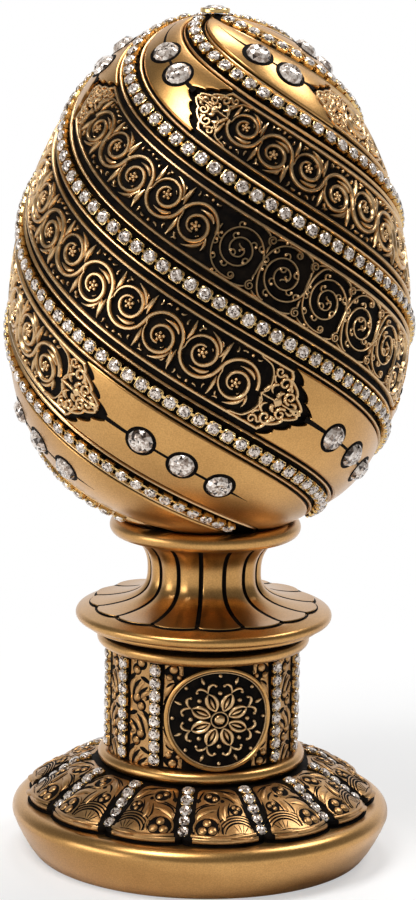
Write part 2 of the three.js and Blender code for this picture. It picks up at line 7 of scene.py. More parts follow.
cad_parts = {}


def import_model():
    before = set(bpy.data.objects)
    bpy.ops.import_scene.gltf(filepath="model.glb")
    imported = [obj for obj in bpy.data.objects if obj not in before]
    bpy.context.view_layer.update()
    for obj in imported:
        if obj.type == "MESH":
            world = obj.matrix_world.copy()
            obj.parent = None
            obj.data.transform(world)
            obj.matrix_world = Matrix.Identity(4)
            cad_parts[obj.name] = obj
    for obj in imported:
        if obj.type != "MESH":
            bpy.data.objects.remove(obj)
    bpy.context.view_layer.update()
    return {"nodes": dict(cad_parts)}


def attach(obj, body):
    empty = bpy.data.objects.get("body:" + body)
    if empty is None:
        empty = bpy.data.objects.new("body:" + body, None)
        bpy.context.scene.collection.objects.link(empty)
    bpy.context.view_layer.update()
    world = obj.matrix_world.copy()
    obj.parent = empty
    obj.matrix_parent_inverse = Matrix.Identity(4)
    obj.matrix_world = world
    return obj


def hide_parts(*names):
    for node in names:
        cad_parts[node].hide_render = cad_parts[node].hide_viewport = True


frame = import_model()

# Sizes are in millimetres and pieces are made in metres. +Z is up, azimuth 0 is the front (-Y), and azimuth
# grows towards the right (+X), as in the frame.
MM = 0.001
STONE_GAP = 0.3         # under the chains, the drum's stones and the pole's cup
CASTING_GAP = 0.3       # between the faces of two castings
SPIGOT_HOLE = 12.3

# Plinth and skirt
RECESS_RADIUS = 42.3
RECESS_Z = 1.3
PLINTH_FOOT_Z = 0.5
PLINTH_FOOT_RADIUS = 45.8
PLINTH_RIM_RADIUS = 51.3
PLINTH_TOP_Z = 15.2
LOBES = 13
LOBE_PHASE = -5.7
LOBE_END_RADIUS = 47.0
LOBE_SCALLOP = 2.6
LOBE_LIP = 2.0
LOBE_PUFF = 1.5
LOBE_LENGTH = 19.6
LOBE_WIDTH = 21.0
SKIRT_CURVE = 1.7
SKIRT_TOP_RADIUS = 29.0
SKIRT_TOP_Z = 25.2
ROW_STONES = 5
ROW_STONE_PITCH = 3.4
ROW_STONE_WIDTH = 3.5
ROW_INNER_MARGIN = 0.6
ROW_CLEAR = 2.0         # from the middle of a row to the gold of a lobe

# Drum
DRUM_Z = 25.5
DRUM_HEIGHT = 36.3
DRUM_WALL_RADIUS = 25.2
FOOT_RING_RADIUS = 28.2
TOP_RING_RADIUS = 28.8
RING_HEIGHT = 3.6
WALL_LOW = DRUM_Z + RING_HEIGHT
WALL_HIGH = DRUM_Z + DRUM_HEIGHT - RING_HEIGHT
WALL_MIDDLE = (WALL_LOW + WALL_HIGH) / 2
MEDALLION_AZIMUTH = 10.3
MEDALLION_RADIUS = 14.2
MEDALLION_LIFT = 1.3
COLUMNS_PER_SIDE = 5
COLUMN_FIRST = 39
COLUMN_STEP = 25.5
COLUMN_STONES = 8
COLUMN_PITCH = 3.5
COLUMN_STONE_WIDTH = 3.48
STRIP_HALF = 3.75
STRIP_END = 14.4
STRIP_REPEAT = 9.7
PLATE_RISE = 0.12       # of the gold ground of the drum's and skirt's relief
INK = 0.24              # height of the black lines on it

# Spool
SPOOL_Z = DRUM_Z + DRUM_HEIGHT + CASTING_GAP
COVE_RADIUS = 27.0
COVE_HEIGHT = 1.5
FLANGE_RADIUS = 34.7
FLANGE_THICKNESS = 5.4
FLUTES = 15
FLUTE_PHASE = -3.3
FLUTE_FOOT_RADIUS = 30.2
FLUTE_SWELL = 0.5
FLUTE_LINE = 0.62
NECK_RADIUS = 14.9
NECK_RISE = 16.6
COLLAR_RISE = 26.2
COLLAR_RADIUS = 25.8
COLLAR_ROUND = 2.4
CUP_RISE = 28.1
SEAT_GAP = 0.35

# Egg
EGG_RADIUS = 54.0
EGG_DROP = 56.0
EGG_RISE = 81.0
EGG_LOW_FULLNESS = 0.73
EGG_HIGH_FULLNESS = 1.03
EGG_BOTTOM_Z = SPOOL_Z + CUP_RISE + SEAT_GAP
EGG_WAIST_Z = EGG_BOTTOM_Z + EGG_DROP
EGG_TOP_Z = EGG_WAIST_Z + EGG_RISE
BANDS = 6
BAND_TWIST = 356
BAND_AZIMUTH = 25.8
SLOT_HALF = 2.35
SLOT_DEPTH = 1.7
GROOVE_END = 4.85       # black groove beside a panel
PLAIN_START = 4.15      # plain gold beside a slot, on a band's ends
FRAME_END = 6.2
FRAME_WIDTH = 1.05
FLOOR_DEPTH = 1.3
CROWN_DEPTH = 0.95
BAND_FULL_HALF = 10
PANEL_BELOW = 18.6
PANEL_ABOVE = 69.0
CHAIN_START = 29.5
CHAIN_END_MARGIN = 8.2
CHAIN_PITCH = 4.26
CHAIN_STONE_WIDTH = 3.42
LOW_GEMS = (5.9, 12.5, 19.1)
HIGH_GEMS = (4.6, 12.0)
GEM_RADIUS = 3.4


def polar(radius, azimuth, z):
    """Points at a radius, an azimuth in degrees and a height."""
    turn = np.radians(azimuth)
    return np.stack(np.broadcast_arrays(radius * np.sin(turn), -radius * np.cos(turn), z), axis=-1)


def smooth(x, low, high):
    share = np.clip((x - low) / (high - low), 0, 1)
    return share * share * (3 - 2 * share)


def grid_faces(rows, columns, around=False):
    """Quads of a grid of points; around joins its last column to its first."""
    row = np.arange(rows - 1)[:, None]
    column = np.arange(columns if around else columns - 1)
    a = row * columns + column
    b = row * columns + (column + 1) % columns
    return np.stack([a, b, b + columns, a + columns], axis=-1).reshape(-1, 4)


class Form:
    """Points and faces of one piece. Each face has a material number and a glint value, a painted reflection
    that only the stones' material reads.
    """

    def __init__(self):
        self.parts = []
        self.count = 0

    def take(self, points, corners, *of_faces):
        self.parts.append((points, corners + self.count, *of_faces))
        self.count += len(points)

    def joined(self):
        return [np.concatenate(column) for column in zip(*self.parts)]

    def add(self, points, faces, material=0, facet_glint=1.0):
        faces = np.asarray(faces, int)
        number = len(faces)
        self.take(np.asarray(points, float).reshape(-1, 3), faces.ravel(), np.full(number, faces.shape[1]),
                  np.broadcast_to(np.asarray(material, int), number),
                  np.broadcast_to(np.asarray(facet_glint, float), number))

    def add_form(self, other, matrix):
        """Adds all of another form, turned and moved by a 4 x 4 matrix."""
        points, *rest = other.joined()
        self.take(points @ matrix[:3, :3].T + matrix[:3, 3], *rest)

    def sheet(self, points, material=0, around=False):
        """Adds a grid of points as rows of quads. A material may be given for each column."""
        rows, columns = points.shape[:2]
        if np.ndim(material):
            material = np.tile(material, rows - 1)
        self.add(points, grid_faces(rows, columns, around), material)

    def piece(self, name, materials, slot, replaces=(), sharp=38):
        """Makes the Blender object, which rides on the object's only body."""
        mesh = bpy.data.meshes.new(name)
        points, corners, sizes, numbers, facet_glints = self.joined()
        mesh.vertices.add(len(points))
        mesh.vertices.foreach_set("co", (points * MM).ravel())
        mesh.loops.add(len(corners))
        mesh.polygons.add(len(sizes))
        mesh.polygons.foreach_set("loop_start", np.concatenate([[0], np.cumsum(sizes)[:-1]]))
        mesh.polygons.foreach_set("vertices", corners)
        mesh.polygons.foreach_set("material_index", numbers)
        mesh.polygons.foreach_set("use_smooth", np.ones(len(sizes), bool))
        mesh.update(calc_edges=True)
        # The faces' painted reflection values, which give the stones' facets their light and dark.
        facet_glint = mesh.attributes.new("facet_glint", "FLOAT", "FACE")
        facet_glint.data.foreach_set("value", facet_glints)
        mesh.validate()
        mesh.set_sharp_from_angle(angle=math.radians(sharp))
        for material in materials:
            mesh.materials.append(material)
        made = bpy.data.objects.new(name, mesh)
        bpy.context.scene.collection.objects.link(made)
        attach(made, "root")
        if replaces:
            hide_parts(*replaces)


def turn_z(degrees):
    return np.array(Matrix.Rotation(math.radians(degrees), 4, "Z"))


# Materials
def fill(tree, node, values):
    """Sets a node's inputs, and links those that are given as sockets."""
    for key, value in values.items():
        if isinstance(value, bpy.types.NodeSocket):
            tree.links.new(value, node.inputs[key])
        else:
            node.inputs[key].default_value = value


def add_node(tree, kind, values=None, **settings):
    node = tree.nodes.new(kind)
    for key, value in settings.items():
        setattr(node, key, value)
    fill(tree, node, values or {})
    return node


def node_material(name):
    """A new material, its nodes, its shader and the place on the object."""
    material = bpy.data.materials.new(name)
    material.use_nodes = True
    tree = material.node_tree
    place = add_node(tree, "ShaderNodeTexCoord").outputs["Object"]
    return material, tree, tree.nodes["Principled BSDF"], place


def noise(tree, place, scale, detail=3.0, roughness=0.5):
    """Noise whose grain is 1 / scale metres wide."""
    values = {"Vector": place, "Scale": scale, "Detail": detail, "Roughness": roughness}
    return add_node(tree, "ShaderNodeTexNoise", values).outputs["Fac"]


def ramp(tree, source, stops):
    """Colours from (place, colour) stops."""
    node = add_node(tree, "ShaderNodeValToRGB", {"Fac": source})
    elements = node.color_ramp.elements
    while len(elements) < len(stops):
        elements.new(0.5)
    for element, (place, colour) in zip(elements, stops):
        element.position = place
        element.color = (*colour, 1)
    return node.outputs["Color"]


def span(tree, source, low, high, start=0.0, end=1.0, way="LINEAR"):
    """Carries a value from the range start to end to the range low to high."""
    values = {"Value": source, "From Min": start, "From Max": end, "To Min": low, "To Max": high}
    return add_node(tree, "ShaderNodeMapRange", values, interpolation_type=way).outputs["Result"]


def multiply_colours(tree, share, first, second):
    node = add_node(tree, "ShaderNodeMix", data_type="RGBA", blend_type="MULTIPLY")
    for name, value in (("Factor", share), ("A", first), ("B", second)):
        socket = [i for i in node.inputs if i.name == name and i.enabled][0]
        if name == "Factor":
            socket.default_value = value
        else:
            tree.links.new(value, socket)
    return [o for o in node.outputs if o.enabled][0]


def bump(tree, source, distance, strength):
    values = {"Height": source, "Distance": distance, "Strength": strength}
    return add_node(tree, "ShaderNodeBump", values).outputs["Normal"]


def gold_material(name, light, dark, rough, grain, lacquer):
    """Satin plating under a thin lacquer: drifting tone, fine sprayed grain and worn patches of gloss."""
    material, tree, shader, place = node_material(name)
    tone = ramp(tree, noise(tree, place, 55, 4), [(0.3, dark), (0.72, light)])
    flecks = ramp(tree, noise(tree, place, 2600, 2), [(0.35, (0.84, 0.82, 0.8)), (0.65, (1.06,) * 3)])
    fill(tree, shader, {
        "Base Color": multiply_colours(tree, 1.0, tone, flecks),
        "Metallic": 1.0,
        "Roughness": span(tree, noise(tree, place, 240, 5, 0.6), *rough),
        "Normal": bump(tree, noise(tree, place, 3200, 2), 0.00005, grain),
        "Coat Weight": lacquer,
        "Coat Roughness": 0.25,
    })
    return material


def inlay_material():
    """Black enamel in the recesses: rubbed, with a brown bloom."""
    material, tree, shader, place = node_material("black_inlay")
    bloom = noise(tree, place, 320, 5, 0.6)
    fill(tree, shader, {
        "Base Color": ramp(tree, bloom, [(0.4, (0.0025, 0.002, 0.002)), (0.8, (0.012, 0.008, 0.005))]),
        "Roughness": span(tree, noise(tree, place, 900, 3), 0.45, 0.7),
        "Normal": bump(tree, noise(tree, place, 1800, 3), 0.0001, 0.5),
        "Specular IOR Level": 0.03,
    })
    return material


def stone_material():
    """Foiled cut glass. Each facet's colour is a painted reflection, from near black to white, and cloudy
    noise paints glints and dark spots over it.
    """
    material, tree, shader, place = node_material("clear_stone")
    facet = add_node(tree, "ShaderNodeAttribute", attribute_name="facet_glint").outputs["Fac"]
    fire = noise(tree, place, 1300, 3, 0.7)
    # Painted glints and dark spots, from cloudy noise.
    glints = ramp(tree, fire, [(0.36, (0.22, 0.155, 0.12)), (0.52, (0.8, 0.72, 0.65)),
                               (0.68, (1, 0.97, 0.93))])
    # Painted reflections: each facet's glint value picks its tone, from near black to white.
    body = ramp(tree, facet, [(0.0, (0.06, 0.042, 0.032)), (0.3, (0.5, 0.41, 0.35)),
                              (0.7, (0.97, 0.93, 0.89))])
    fill(tree, shader, {
        "Base Color": multiply_colours(tree, 0.85, body, glints),
        "Metallic": 0.4,
        "Roughness": span(tree, fire, 0.05, 0.2),
        "Coat Weight": 0.6,
        "Coat Roughness": 0.03,
    })
    return material


def felt_material():
    material, tree, shader, place = node_material("felt")
    fibre = noise(tree, place, 1400, 6, 0.7)
    fill(tree, shader, {
        "Base Color": ramp(tree, fibre, [(0.3, (0.006, 0.005, 0.005)), (0.7, (0.03, 0.026, 0.024))]),
        "Roughness": span(tree, fibre, 0.85, 1.0),
        "Normal": bump(tree, fibre, 0.0004, 0.8),
        "Sheen Weight": 0.4,
    })
    return material


satin, relief_gold, carved_gold, cup_gold = (gold_material(*values) for values in (
    ("satin_gold", (0.6, 0.335, 0.11), (0.5, 0.265, 0.08), (0.27, 0.34), 0.3, 0.28),
    ("relief_gold", (0.72, 0.49, 0.255), (0.56, 0.36, 0.17), (0.26, 0.38), 0.3, 0.25),
    ("carved_gold", (0.55, 0.315, 0.125), (0.36, 0.195, 0.07), (0.28, 0.44), 0.4, 0.2),
    ("cup_gold", (0.86, 0.62, 0.27), (0.72, 0.47, 0.17), (0.16, 0.28), 0.15, 0.2),
))
inlay = inlay_material()
stone = stone_material()
felt = felt_material()
GOLD, BLACK, RAISED = 0, 1, 2
CASTING = [satin, inlay, relief_gold]
CARVED = [satin, inlay, carved_gold]
STONE, CUP = 0, 1
STONE_SET = [stone, cup_gold]


# Drawing in relief: a surface is given as a function place(x, y, h), in millimetres
def arc(x, y, radius, start, end, points=20):
    turn = np.radians(np.linspace(start, end, points))
    return np.stack([x + radius * np.cos(turn), y + radius * np.sin(turn)], axis=-1)


def spiral(x, y, radius, inner, start, turns, points=60, rate=0.9):
    share = np.linspace(0, 1, points)
    turn = np.radians(start + 360 * turns * share)
    reach = radius + (inner - radius) * share ** rate
    return np.stack([x + reach * np.cos(turn), y + reach * np.sin(turn)], axis=-1)


def bend(*corners, points=16):
    """Smooth curve with three or four control points."""
    t = np.linspace(0, 1, points)[:, None]
    corners = [np.array(c, float) for c in corners]
    if len(corners) == 3:
        a, b, c = corners
        return (1 - t) ** 2 * a + 2 * t * (1 - t) * b + t ** 2 * c
    a, b, c, d = corners
    return (1 - t) ** 3 * a + 3 * t * (1 - t) ** 2 * b + 3 * t ** 2 * (1 - t) * c + t ** 3 * d


def taper(path, start, middle, end, peak=0.4):
    """Width along a path: three values, with the middle one at a share of the way."""
    share = np.linspace(0, 1, len(path))
    first = start + (middle - start) * np.sin(np.clip(share / peak, 0, 1) * np.pi / 2)
    second = middle + (end - middle) * (1 - np.cos(np.clip((share - peak) / (1 - peak), 0, 1) * np.pi / 2))
    return np.where(share < peak, first, second)


class Relief:
    """Raised strokes and beads on a surface. mirror turns y round."""

    PROFILE = np.array([(-1, 0), (-0.82, 0.62), (-0.4, 0.95), (0.4, 0.95), (0.82, 0.62), (1, 0)])
    SUNK = 0.3
    STEP = 0.05

    def __init__(self, form, place, mirror=False):
        self.form = form
        self.surface = place
        self.mirror = -1 if mirror else 1
        here, *ahead = (place(*map(np.array, at)) for at in ((0.0, 0.0, 0.0), *np.eye(3) * self.STEP))
        over, up, out = (point - here for point in ahead)
        self.flip = np.dot(np.cross(over, up), out) * self.mirror < 0

    def place(self, x, y, h):
        return self.surface(x, self.mirror * y, h)

    def add(self, points, faces, material):
        self.form.add(points, faces[:, ::-1] if self.flip else faces, material)

    def ridge(self, path, width, height, material=RAISED, even=False):
        """A rounded stroke along a path, closed all round. It is lower where it is narrow, unless even."""
        path = np.asarray(path, float)
        width = np.broadcast_to(width, len(path))
        tangent = np.gradient(path, axis=0)
        tangent /= np.maximum(np.linalg.norm(tangent, axis=1, keepdims=True), 1e-9)
        offset = self.PROFILE[:, 0] * width[:, None] / 2
        x = path[:, :1] - tangent[:, 1:] * offset
        y = path[:, 1:] + tangent[:, :1] * offset
        tall = height * (1 if even else np.sqrt(np.clip(width / max(width.max(), 1e-6), 0.25, 1)))
        tall = np.broadcast_to(tall, len(path))
        h = np.where(self.PROFILE[:, 1] > 0, self.PROFILE[:, 1] * tall[:, None], -self.SUNK)
        points = self.place(x, y, h)
        rows, columns = x.shape
        self.add(points, grid_faces(rows, columns, around=True)[:, ::-1], material)
        ends = np.array([np.arange(columns), (rows - 1) * columns + np.arange(columns)[::-1]])
        self.add(points, ends[:, ::-1], material)

    def stroke(self, path, widths, height, peak=0.4):
        self.ridge(path, taper(path, *widths, peak), height)

    def curve(self, widths, height, *corners, points=12, peak=0.4):
        self.stroke(bend(*corners, points=points), widths, height, peak)

    def dome(self, x, y, radius, height, material=RAISED, sides=12, squash=1.0):
        """A round bead."""
        rings = np.array([(1, -self.SUNK / height), (1, 0.15), (0.93, 0.5), (0.74, 0.8), (0.4, 0.96)])
        turn = np.linspace(0, 2 * np.pi, sides, endpoint=False)
        px = x + radius * rings[:, :1] * np.cos(turn) * squash
        py = y + radius * rings[:, :1] * np.sin(turn)
        points = self.place(px, py, np.broadcast_to(rings[:, 1:] * height, px.shape))
        top = self.place(np.array([[x]]), np.array([[y]]), np.array([[height]]))
        points = np.concatenate([points.reshape(-1, 3), top.reshape(-1, 3)])
        self.add(points, grid_faces(len(rings), sides, around=True), material)
        around = np.arange(sides)
        low = (len(rings) - 1) * sides
        fan = np.stack([low + around, low + (around + 1) % sides, np.full(sides, len(points) - 1)], axis=-1)
        self.add(points, fan, material)
        self.add(points, around[None, ::-1], material)

    def loop(self, radius, width, height, material=RAISED, sides=32):
        """A round ring about the patch's middle."""
        self.ridge(arc(0, 0, radius, 0, 360, sides + 1), width, height, material)

    def ink(self, width, *corners, points=12):
        """A low black line along a curve."""
        self.line(bend(*corners, points=points), width)

    def line(self, path, width):
        self.ridge(path, taper(path, 0.5 * width, 1.3 * width, 0.4 * width, 0.5), INK, BLACK, even=True)

    def pool(self, x, y, radius, squash=1.0):
        """A low black patch that berries stand in."""
        self.dome(x, y, radius, INK, BLACK, 18, squash)


# Egg surface, by the distance along the meridian from the bottom pole
LATITUDE = np.linspace(-90, 90, 2881)
_high = LATITUDE > 0
_cosine = np.clip(np.cos(np.radians(LATITUDE)), 0, 1)
_radius = EGG_RADIUS * _cosine ** np.where(_high, EGG_HIGH_FULLNESS, EGG_LOW_FULLNESS)
_height = EGG_WAIST_Z + np.where(_high, EGG_RISE, EGG_DROP) * np.sin(np.radians(LATITUDE))
_along = np.concatenate([[0], np.cumsum(np.hypot(np.diff(_radius), np.diff(_height)))])
_outward = np.gradient(_height, _along)
_upward = -np.gradient(_radius, _along)
MERIDIAN = _along[-1]
WAIST = np.interp(0, LATITUDE, _along)
TWIST_PER_MM = BAND_TWIST / MERIDIAN
LOW_TIP = WAIST - PANEL_BELOW
HIGH_TIP = WAIST + PANEL_ABOVE
SURFACE_START = 9.0
SURFACE_END = MERIDIAN - 2.5
FADE_LOW = (19, 25)     # depths below the egg's surface grow between these distances from its lower pole
FADE_HIGH = (3, 7)      # and from its upper pole


def meridian(along):
    """Radius, height and outward normal of the egg's surface."""
    values = [np.interp(along, _along, table) for table in (_radius, _height, _outward, _upward)]
    length = np.hypot(values[2], values[3])
    return values[0], values[1], values[2] / length, values[3] / length


def radius_at(along):
    return np.interp(along, _along, _radius)


def steepness(radius):
    return 1 / np.hypot(1, radius * np.radians(TWIST_PER_MM))


def lean(along):
    """Way along the meridian for a way square across a band."""
    return np.sqrt(1 - steepness(radius_at(along)) ** 2)


def half_at(along):
    """Half the distance between two slots."""
    radius = radius_at(along)
    return np.pi / BANDS * radius * steepness(radius)


def squeeze(along):
    """How much a band's borders draw in where the band is narrow."""
    return np.clip((half_at(along) - SLOT_HALF) / (BAND_FULL_HALF - SLOT_HALF), 0.05, 1)


def border(along, at):
    return SLOT_HALF + (at - SLOT_HALF) * squeeze(along)


def fade(along):
    return smooth(along, *FADE_LOW) * smooth(MERIDIAN - along, *FADE_HIGH)


def band_point(along, across, depth):
    """A point of the first band: along the meridian, across the band from its lower slot, at a depth."""
    radius, z, outward, upward = meridian(along)
    turn = np.degrees(across / np.maximum(radius * steepness(radius), 1e-6))
    azimuth = BAND_AZIMUTH - TWIST_PER_MM * (along - WAIST) + turn
    return polar(radius - depth * outward, azimuth, z - depth * upward)


# Distance along a band's middle, measured from the widest ring
_middle = np.concatenate([[0], np.cumsum(np.diff(_along) / steepness(_radius[1:]))])
_middle -= np.interp(WAIST, _along, _middle)
PANEL_HALF = half_at(WAIST) - FRAME_END


def middle_of(along):
    return np.interp(along, _along, _middle)


def along_of(middle):
    return np.interp(middle, _middle, _along)


def panel_half(along):
    """Half the panel's width between its frames."""
    return half_at(along) - border(along, FRAME_END)


def plain_half(along):
    return half_at(along) - border(along, PLAIN_START)


def off_middle(along, y):
    """Place on a band that lies y square across from a place on its middle."""
    shifted = along + y * lean(along)
    half = half_at(shifted)
    return shifted, half + y * half / half_at(along)


def panel_place(u, v, h):
    """A point over a panel's floor: along the band's middle, across it in widest panel widths, and up."""
    along = along_of(u)
    along, across = off_middle(along, v * panel_half(along) / PANEL_HALF)
    return band_point(along, across, FLOOR_DEPTH * fade(along) - h)


def crown(along, across):
    """Depth of a band's plain surface, which swells towards its middle."""
    half = half_at(along)
    share = (across - half) / np.maximum(half, 1e-6)
    return CROWN_DEPTH * np.clip(share * share, 0, 1)


# Border between two bands, from the slot's middle outwards: distance, depth and material. A rail and a black
# groove run on each side of the slot.
BORDER_COLUMNS = [
    (0.0, 1.7, BLACK), (2.35, 1.7, BLACK), (2.66, 1.2, BLACK), (2.8, 0.72, RAISED), (2.93, 0.54, RAISED),
    (3.1, 0.47, RAISED), (3.27, 0.54, RAISED), (3.4, 0.72, RAISED), (3.5, 1.15, BLACK), (3.65, 1.45, BLACK),
    (4.3, 1.5, BLACK), (4.95, 1.5, BLACK),
]


def band_rows(start, end, step):
    """Distances along the meridian for the rows of a surface."""
    return np.linspace(start, end, max(int(abs(end - start) / step), 2) + 1)[:, None]


def add_border(form):
    rows = band_rows(SURFACE_START, SURFACE_END, 0.9)
    columns = [(-at, depth, material) for at, depth, material in BORDER_COLUMNS[:0:-1]] + BORDER_COLUMNS
    at, depth, material = (np.array(values) for values in zip(*columns))
    across = np.sign(at) * np.where(np.abs(at) > SLOT_HALF, border(rows, np.abs(at)), np.abs(at))
    across = across * np.minimum(1, half_at(rows) / (np.abs(across).max(1, keepdims=True) + 0.01))
    material = [RAISED if RAISED in pair else BLACK for pair in zip(material, material[1:])]
    form.sheet(band_point(rows, across, depth * fade(rows)), material)


# Finial at the end of a panel: x runs from its tip into the panel and y runs across
FINIAL_SLOPE = 1.15
FINIAL_HALF = 8.7
FINIAL_REACH = 17.4
FINIAL_MIDDLE = 9
CHANNEL = 2.35
SCALLOP_PITCH = 3.3
PLAIN_SCALLOP = 1.75
LATTICE_SCALLOP = 1.15
OGEE = 2.4
TRACERY = 0.85


def scallops(side, size, power):
    return size * np.abs(np.sin(np.pi * side / SCALLOP_PITCH)) ** power * smooth(side, 0.3, 1.2)


def plain_edge(y):
    """Where the plain end stops, with scallops and a drawn-out tip."""
    side = np.abs(y)
    return FINIAL_SLOPE * side - scallops(side, PLAIN_SCALLOP, 0.55) - OGEE * np.exp(-side / 0.5)


def lattice_edge(y):
    side = np.abs(y)
    return FINIAL_SLOPE * side + CHANNEL - scallops(side, LATTICE_SCALLOP, 0.7)


def lattice_end(y):
    """Inner edge of the finial: a concave arc on each side of a small point."""
    side = np.abs(y)
    bay = 15.0 + 4.6 * (1 - np.sqrt(np.clip(1 - ((side - 1.5) / 6.6) ** 2, 0, 1)))
    return np.where(side < 1.5, 16.4 - 0.9 * side, bay) + 2.0 * smooth(side, 7.4, FINIAL_HALF)


class End:
    """One end of a panel, with the band's scale there. inward is 1 or -1 along the middle."""

    def __init__(self, tip, inward):
        self.tip_along = tip
        self.tip = middle_of(tip)
        self.inward = inward
        self.scale = panel_half(along_of(self.tip + inward * FINIAL_MIDDLE)) / PANEL_HALF

    def at(self, x):
        return self.tip + self.inward * x * self.scale

    def place(self, x, y, h):
        return panel_place(self.at(x), y, h)


low_end = End(LOW_TIP, 1)
high_end = End(HIGH_TIP, -1)


def add_plain_end(form, end, start):
    """The plain gold end of a band, from its pole side to the scalloped edge of the panel's channel."""
    share = np.linspace(-1, 1, 121)
    share = np.sign(share) * np.abs(share) ** 0.94
    # The edge is a function of the distance across, so each column finds its own row there
    along = np.full_like(share, along_of(end.tip))
    for _ in range(6):
        base = along - share * plain_half(along) * lean(along)
        base = along_of(end.at(plain_edge(share * plain_half(base) / panel_half(base) * PANEL_HALF)))
        along = base + share * plain_half(base) * lean(base)
    lip = 0.22 * np.sign(along - start)
    t = (np.linspace(0, 1, int(abs(along.mean() - start) / 0.8)) ** 0.9)[:, None]
    rows = np.concatenate([start + (along - lip - start) * t, [along - lip * 0.25, along, along]])
    extra = np.zeros((len(rows), 1))
    extra[-3:, 0] = (0.03, 0.14, 1.2)
    half = half_at(rows)
    wall = border(rows, PLAIN_START)
    across = half + share * (half - wall)
    gap = np.minimum(across - wall, 2 * half - wall - across)
    rounding = 0.3 * (1 - np.clip(gap / 0.45, 0, 1)) ** 2
    depth = (crown(rows, across) + rounding) * fade(rows) + extra
    # Side walls down into the grooves
    columns = [0, *range(len(share)), -1]
    depth = depth[:, columns]
    depth[:, [0, -1]] += 1.1
    form.sheet(band_point(rows[:, columns], across[:, columns], depth)[::end.inward], GOLD)


def add_floor(form):
    """Black floor of the panel and of the channels round its finials."""
    rows = band_rows(LOW_TIP - 8, HIGH_TIP + 7, 1.0)
    half = half_at(rows)
    across = half + np.linspace(-1, 1, 13) * (half - border(rows, GROOVE_END - 0.1))
    middle, reach = (LOW_TIP + HIGH_TIP) / 2, (HIGH_TIP - LOW_TIP) / 2
    depth = FLOOR_DEPTH * fade(rows) + 0.25 * smooth(np.abs(rows - middle), reach + 1, reach + 4)
    form.sheet(band_point(rows, across, np.broadcast_to(depth, across.shape)), BLACK)


def add_frames(form):
    """Gold frame strips along the panel's two long sides, from finial to finial."""
    u = np.linspace(low_end.at(lattice_edge(FINIAL_HALF)), high_end.at(lattice_edge(FINIAL_HALF)), 170)
    along = along_of(u)
    middle = half_at(along) - border(along, (GROOVE_END + FRAME_END) / 2)
    for side in (-1, 1):
        v = side * middle / panel_half(along) * PANEL_HALF
        Relief(form, panel_place).ridge(np.stack([u, v], axis=-1), FRAME_WIDTH * squeeze(along), 0.85)


# Motifs of the panels, in millimetres on the widest part of a band
TALL = 0.95
LOW = 0.62
SCROLL_PITCH = 14.1
SCROLL_RING = 7.35
BUD_PITCH = 7.7
LEAF_PITCH = 11.4


def heading(degrees):
    """Unit vectors in a direction and to its left."""
    ahead = np.array([np.cos(np.radians(degrees)), np.sin(np.radians(degrees))])
    return ahead, np.array([-ahead[1], ahead[0]])


def hooks(relief, path, turn, size, places):
    """Small curls that end in a bead, at shares of a path, on its left (1) or right (-1)."""
    for share, side in places:
        i = int(share * (len(path) - 1))
        towards = np.degrees(np.arctan2(*(path[i + 1] - path[i])[::-1])) + turn * side
        centre = path[i] + side * size * heading(towards)[1]
        curl = arc(*centre, size, towards - side * 90, towards + side * 125, 9)
        relief.stroke(curl, (0.36, 0.46, 0.5), LOW)
        relief.dome(*curl[-1], 0.46, LOW + 0.08, sides=8)


def comma(relief, x, y, towards, size):
    """A small curved leaf with a round head."""
    ahead, left = (size * way for way in heading(towards))
    start = np.array([x, y], float)
    corners = start, start + 0.9 * ahead + 0.35 * left, start + 1.6 * ahead - 0.5 * left
    relief.curve((0.75 * size, 0.85 * size, 0.12), TALL, *corners, points=9, peak=0.2)


def bud_unit(relief):
    """A pair of curls that fills the space between a finial and the first fine scroll."""
    for side in (-1, 1):
        curl = spiral(0.2, side * 4.4, 3.3, 0.8, -side * 90, side * 1.7, 44)
        relief.ridge(curl, np.linspace(0.62, 0.46, 44), LOW)
        for start, *leaf in ((0.25, (-2.6, 8.0), (0.2, 8.6), (3.0, 7.9)),
                             (0.2, (2.9, 1.2), (3.6, 3.0), (3.4, 5.4))):
            relief.curve((start, 0.6, 0.15), LOW, *(leaf * np.array((1, side))), points=16)
    relief.stroke([(-3.4, 0), (-1.6, 0), (0.6, 0)], (0.3, 0.8, 0.2), LOW)


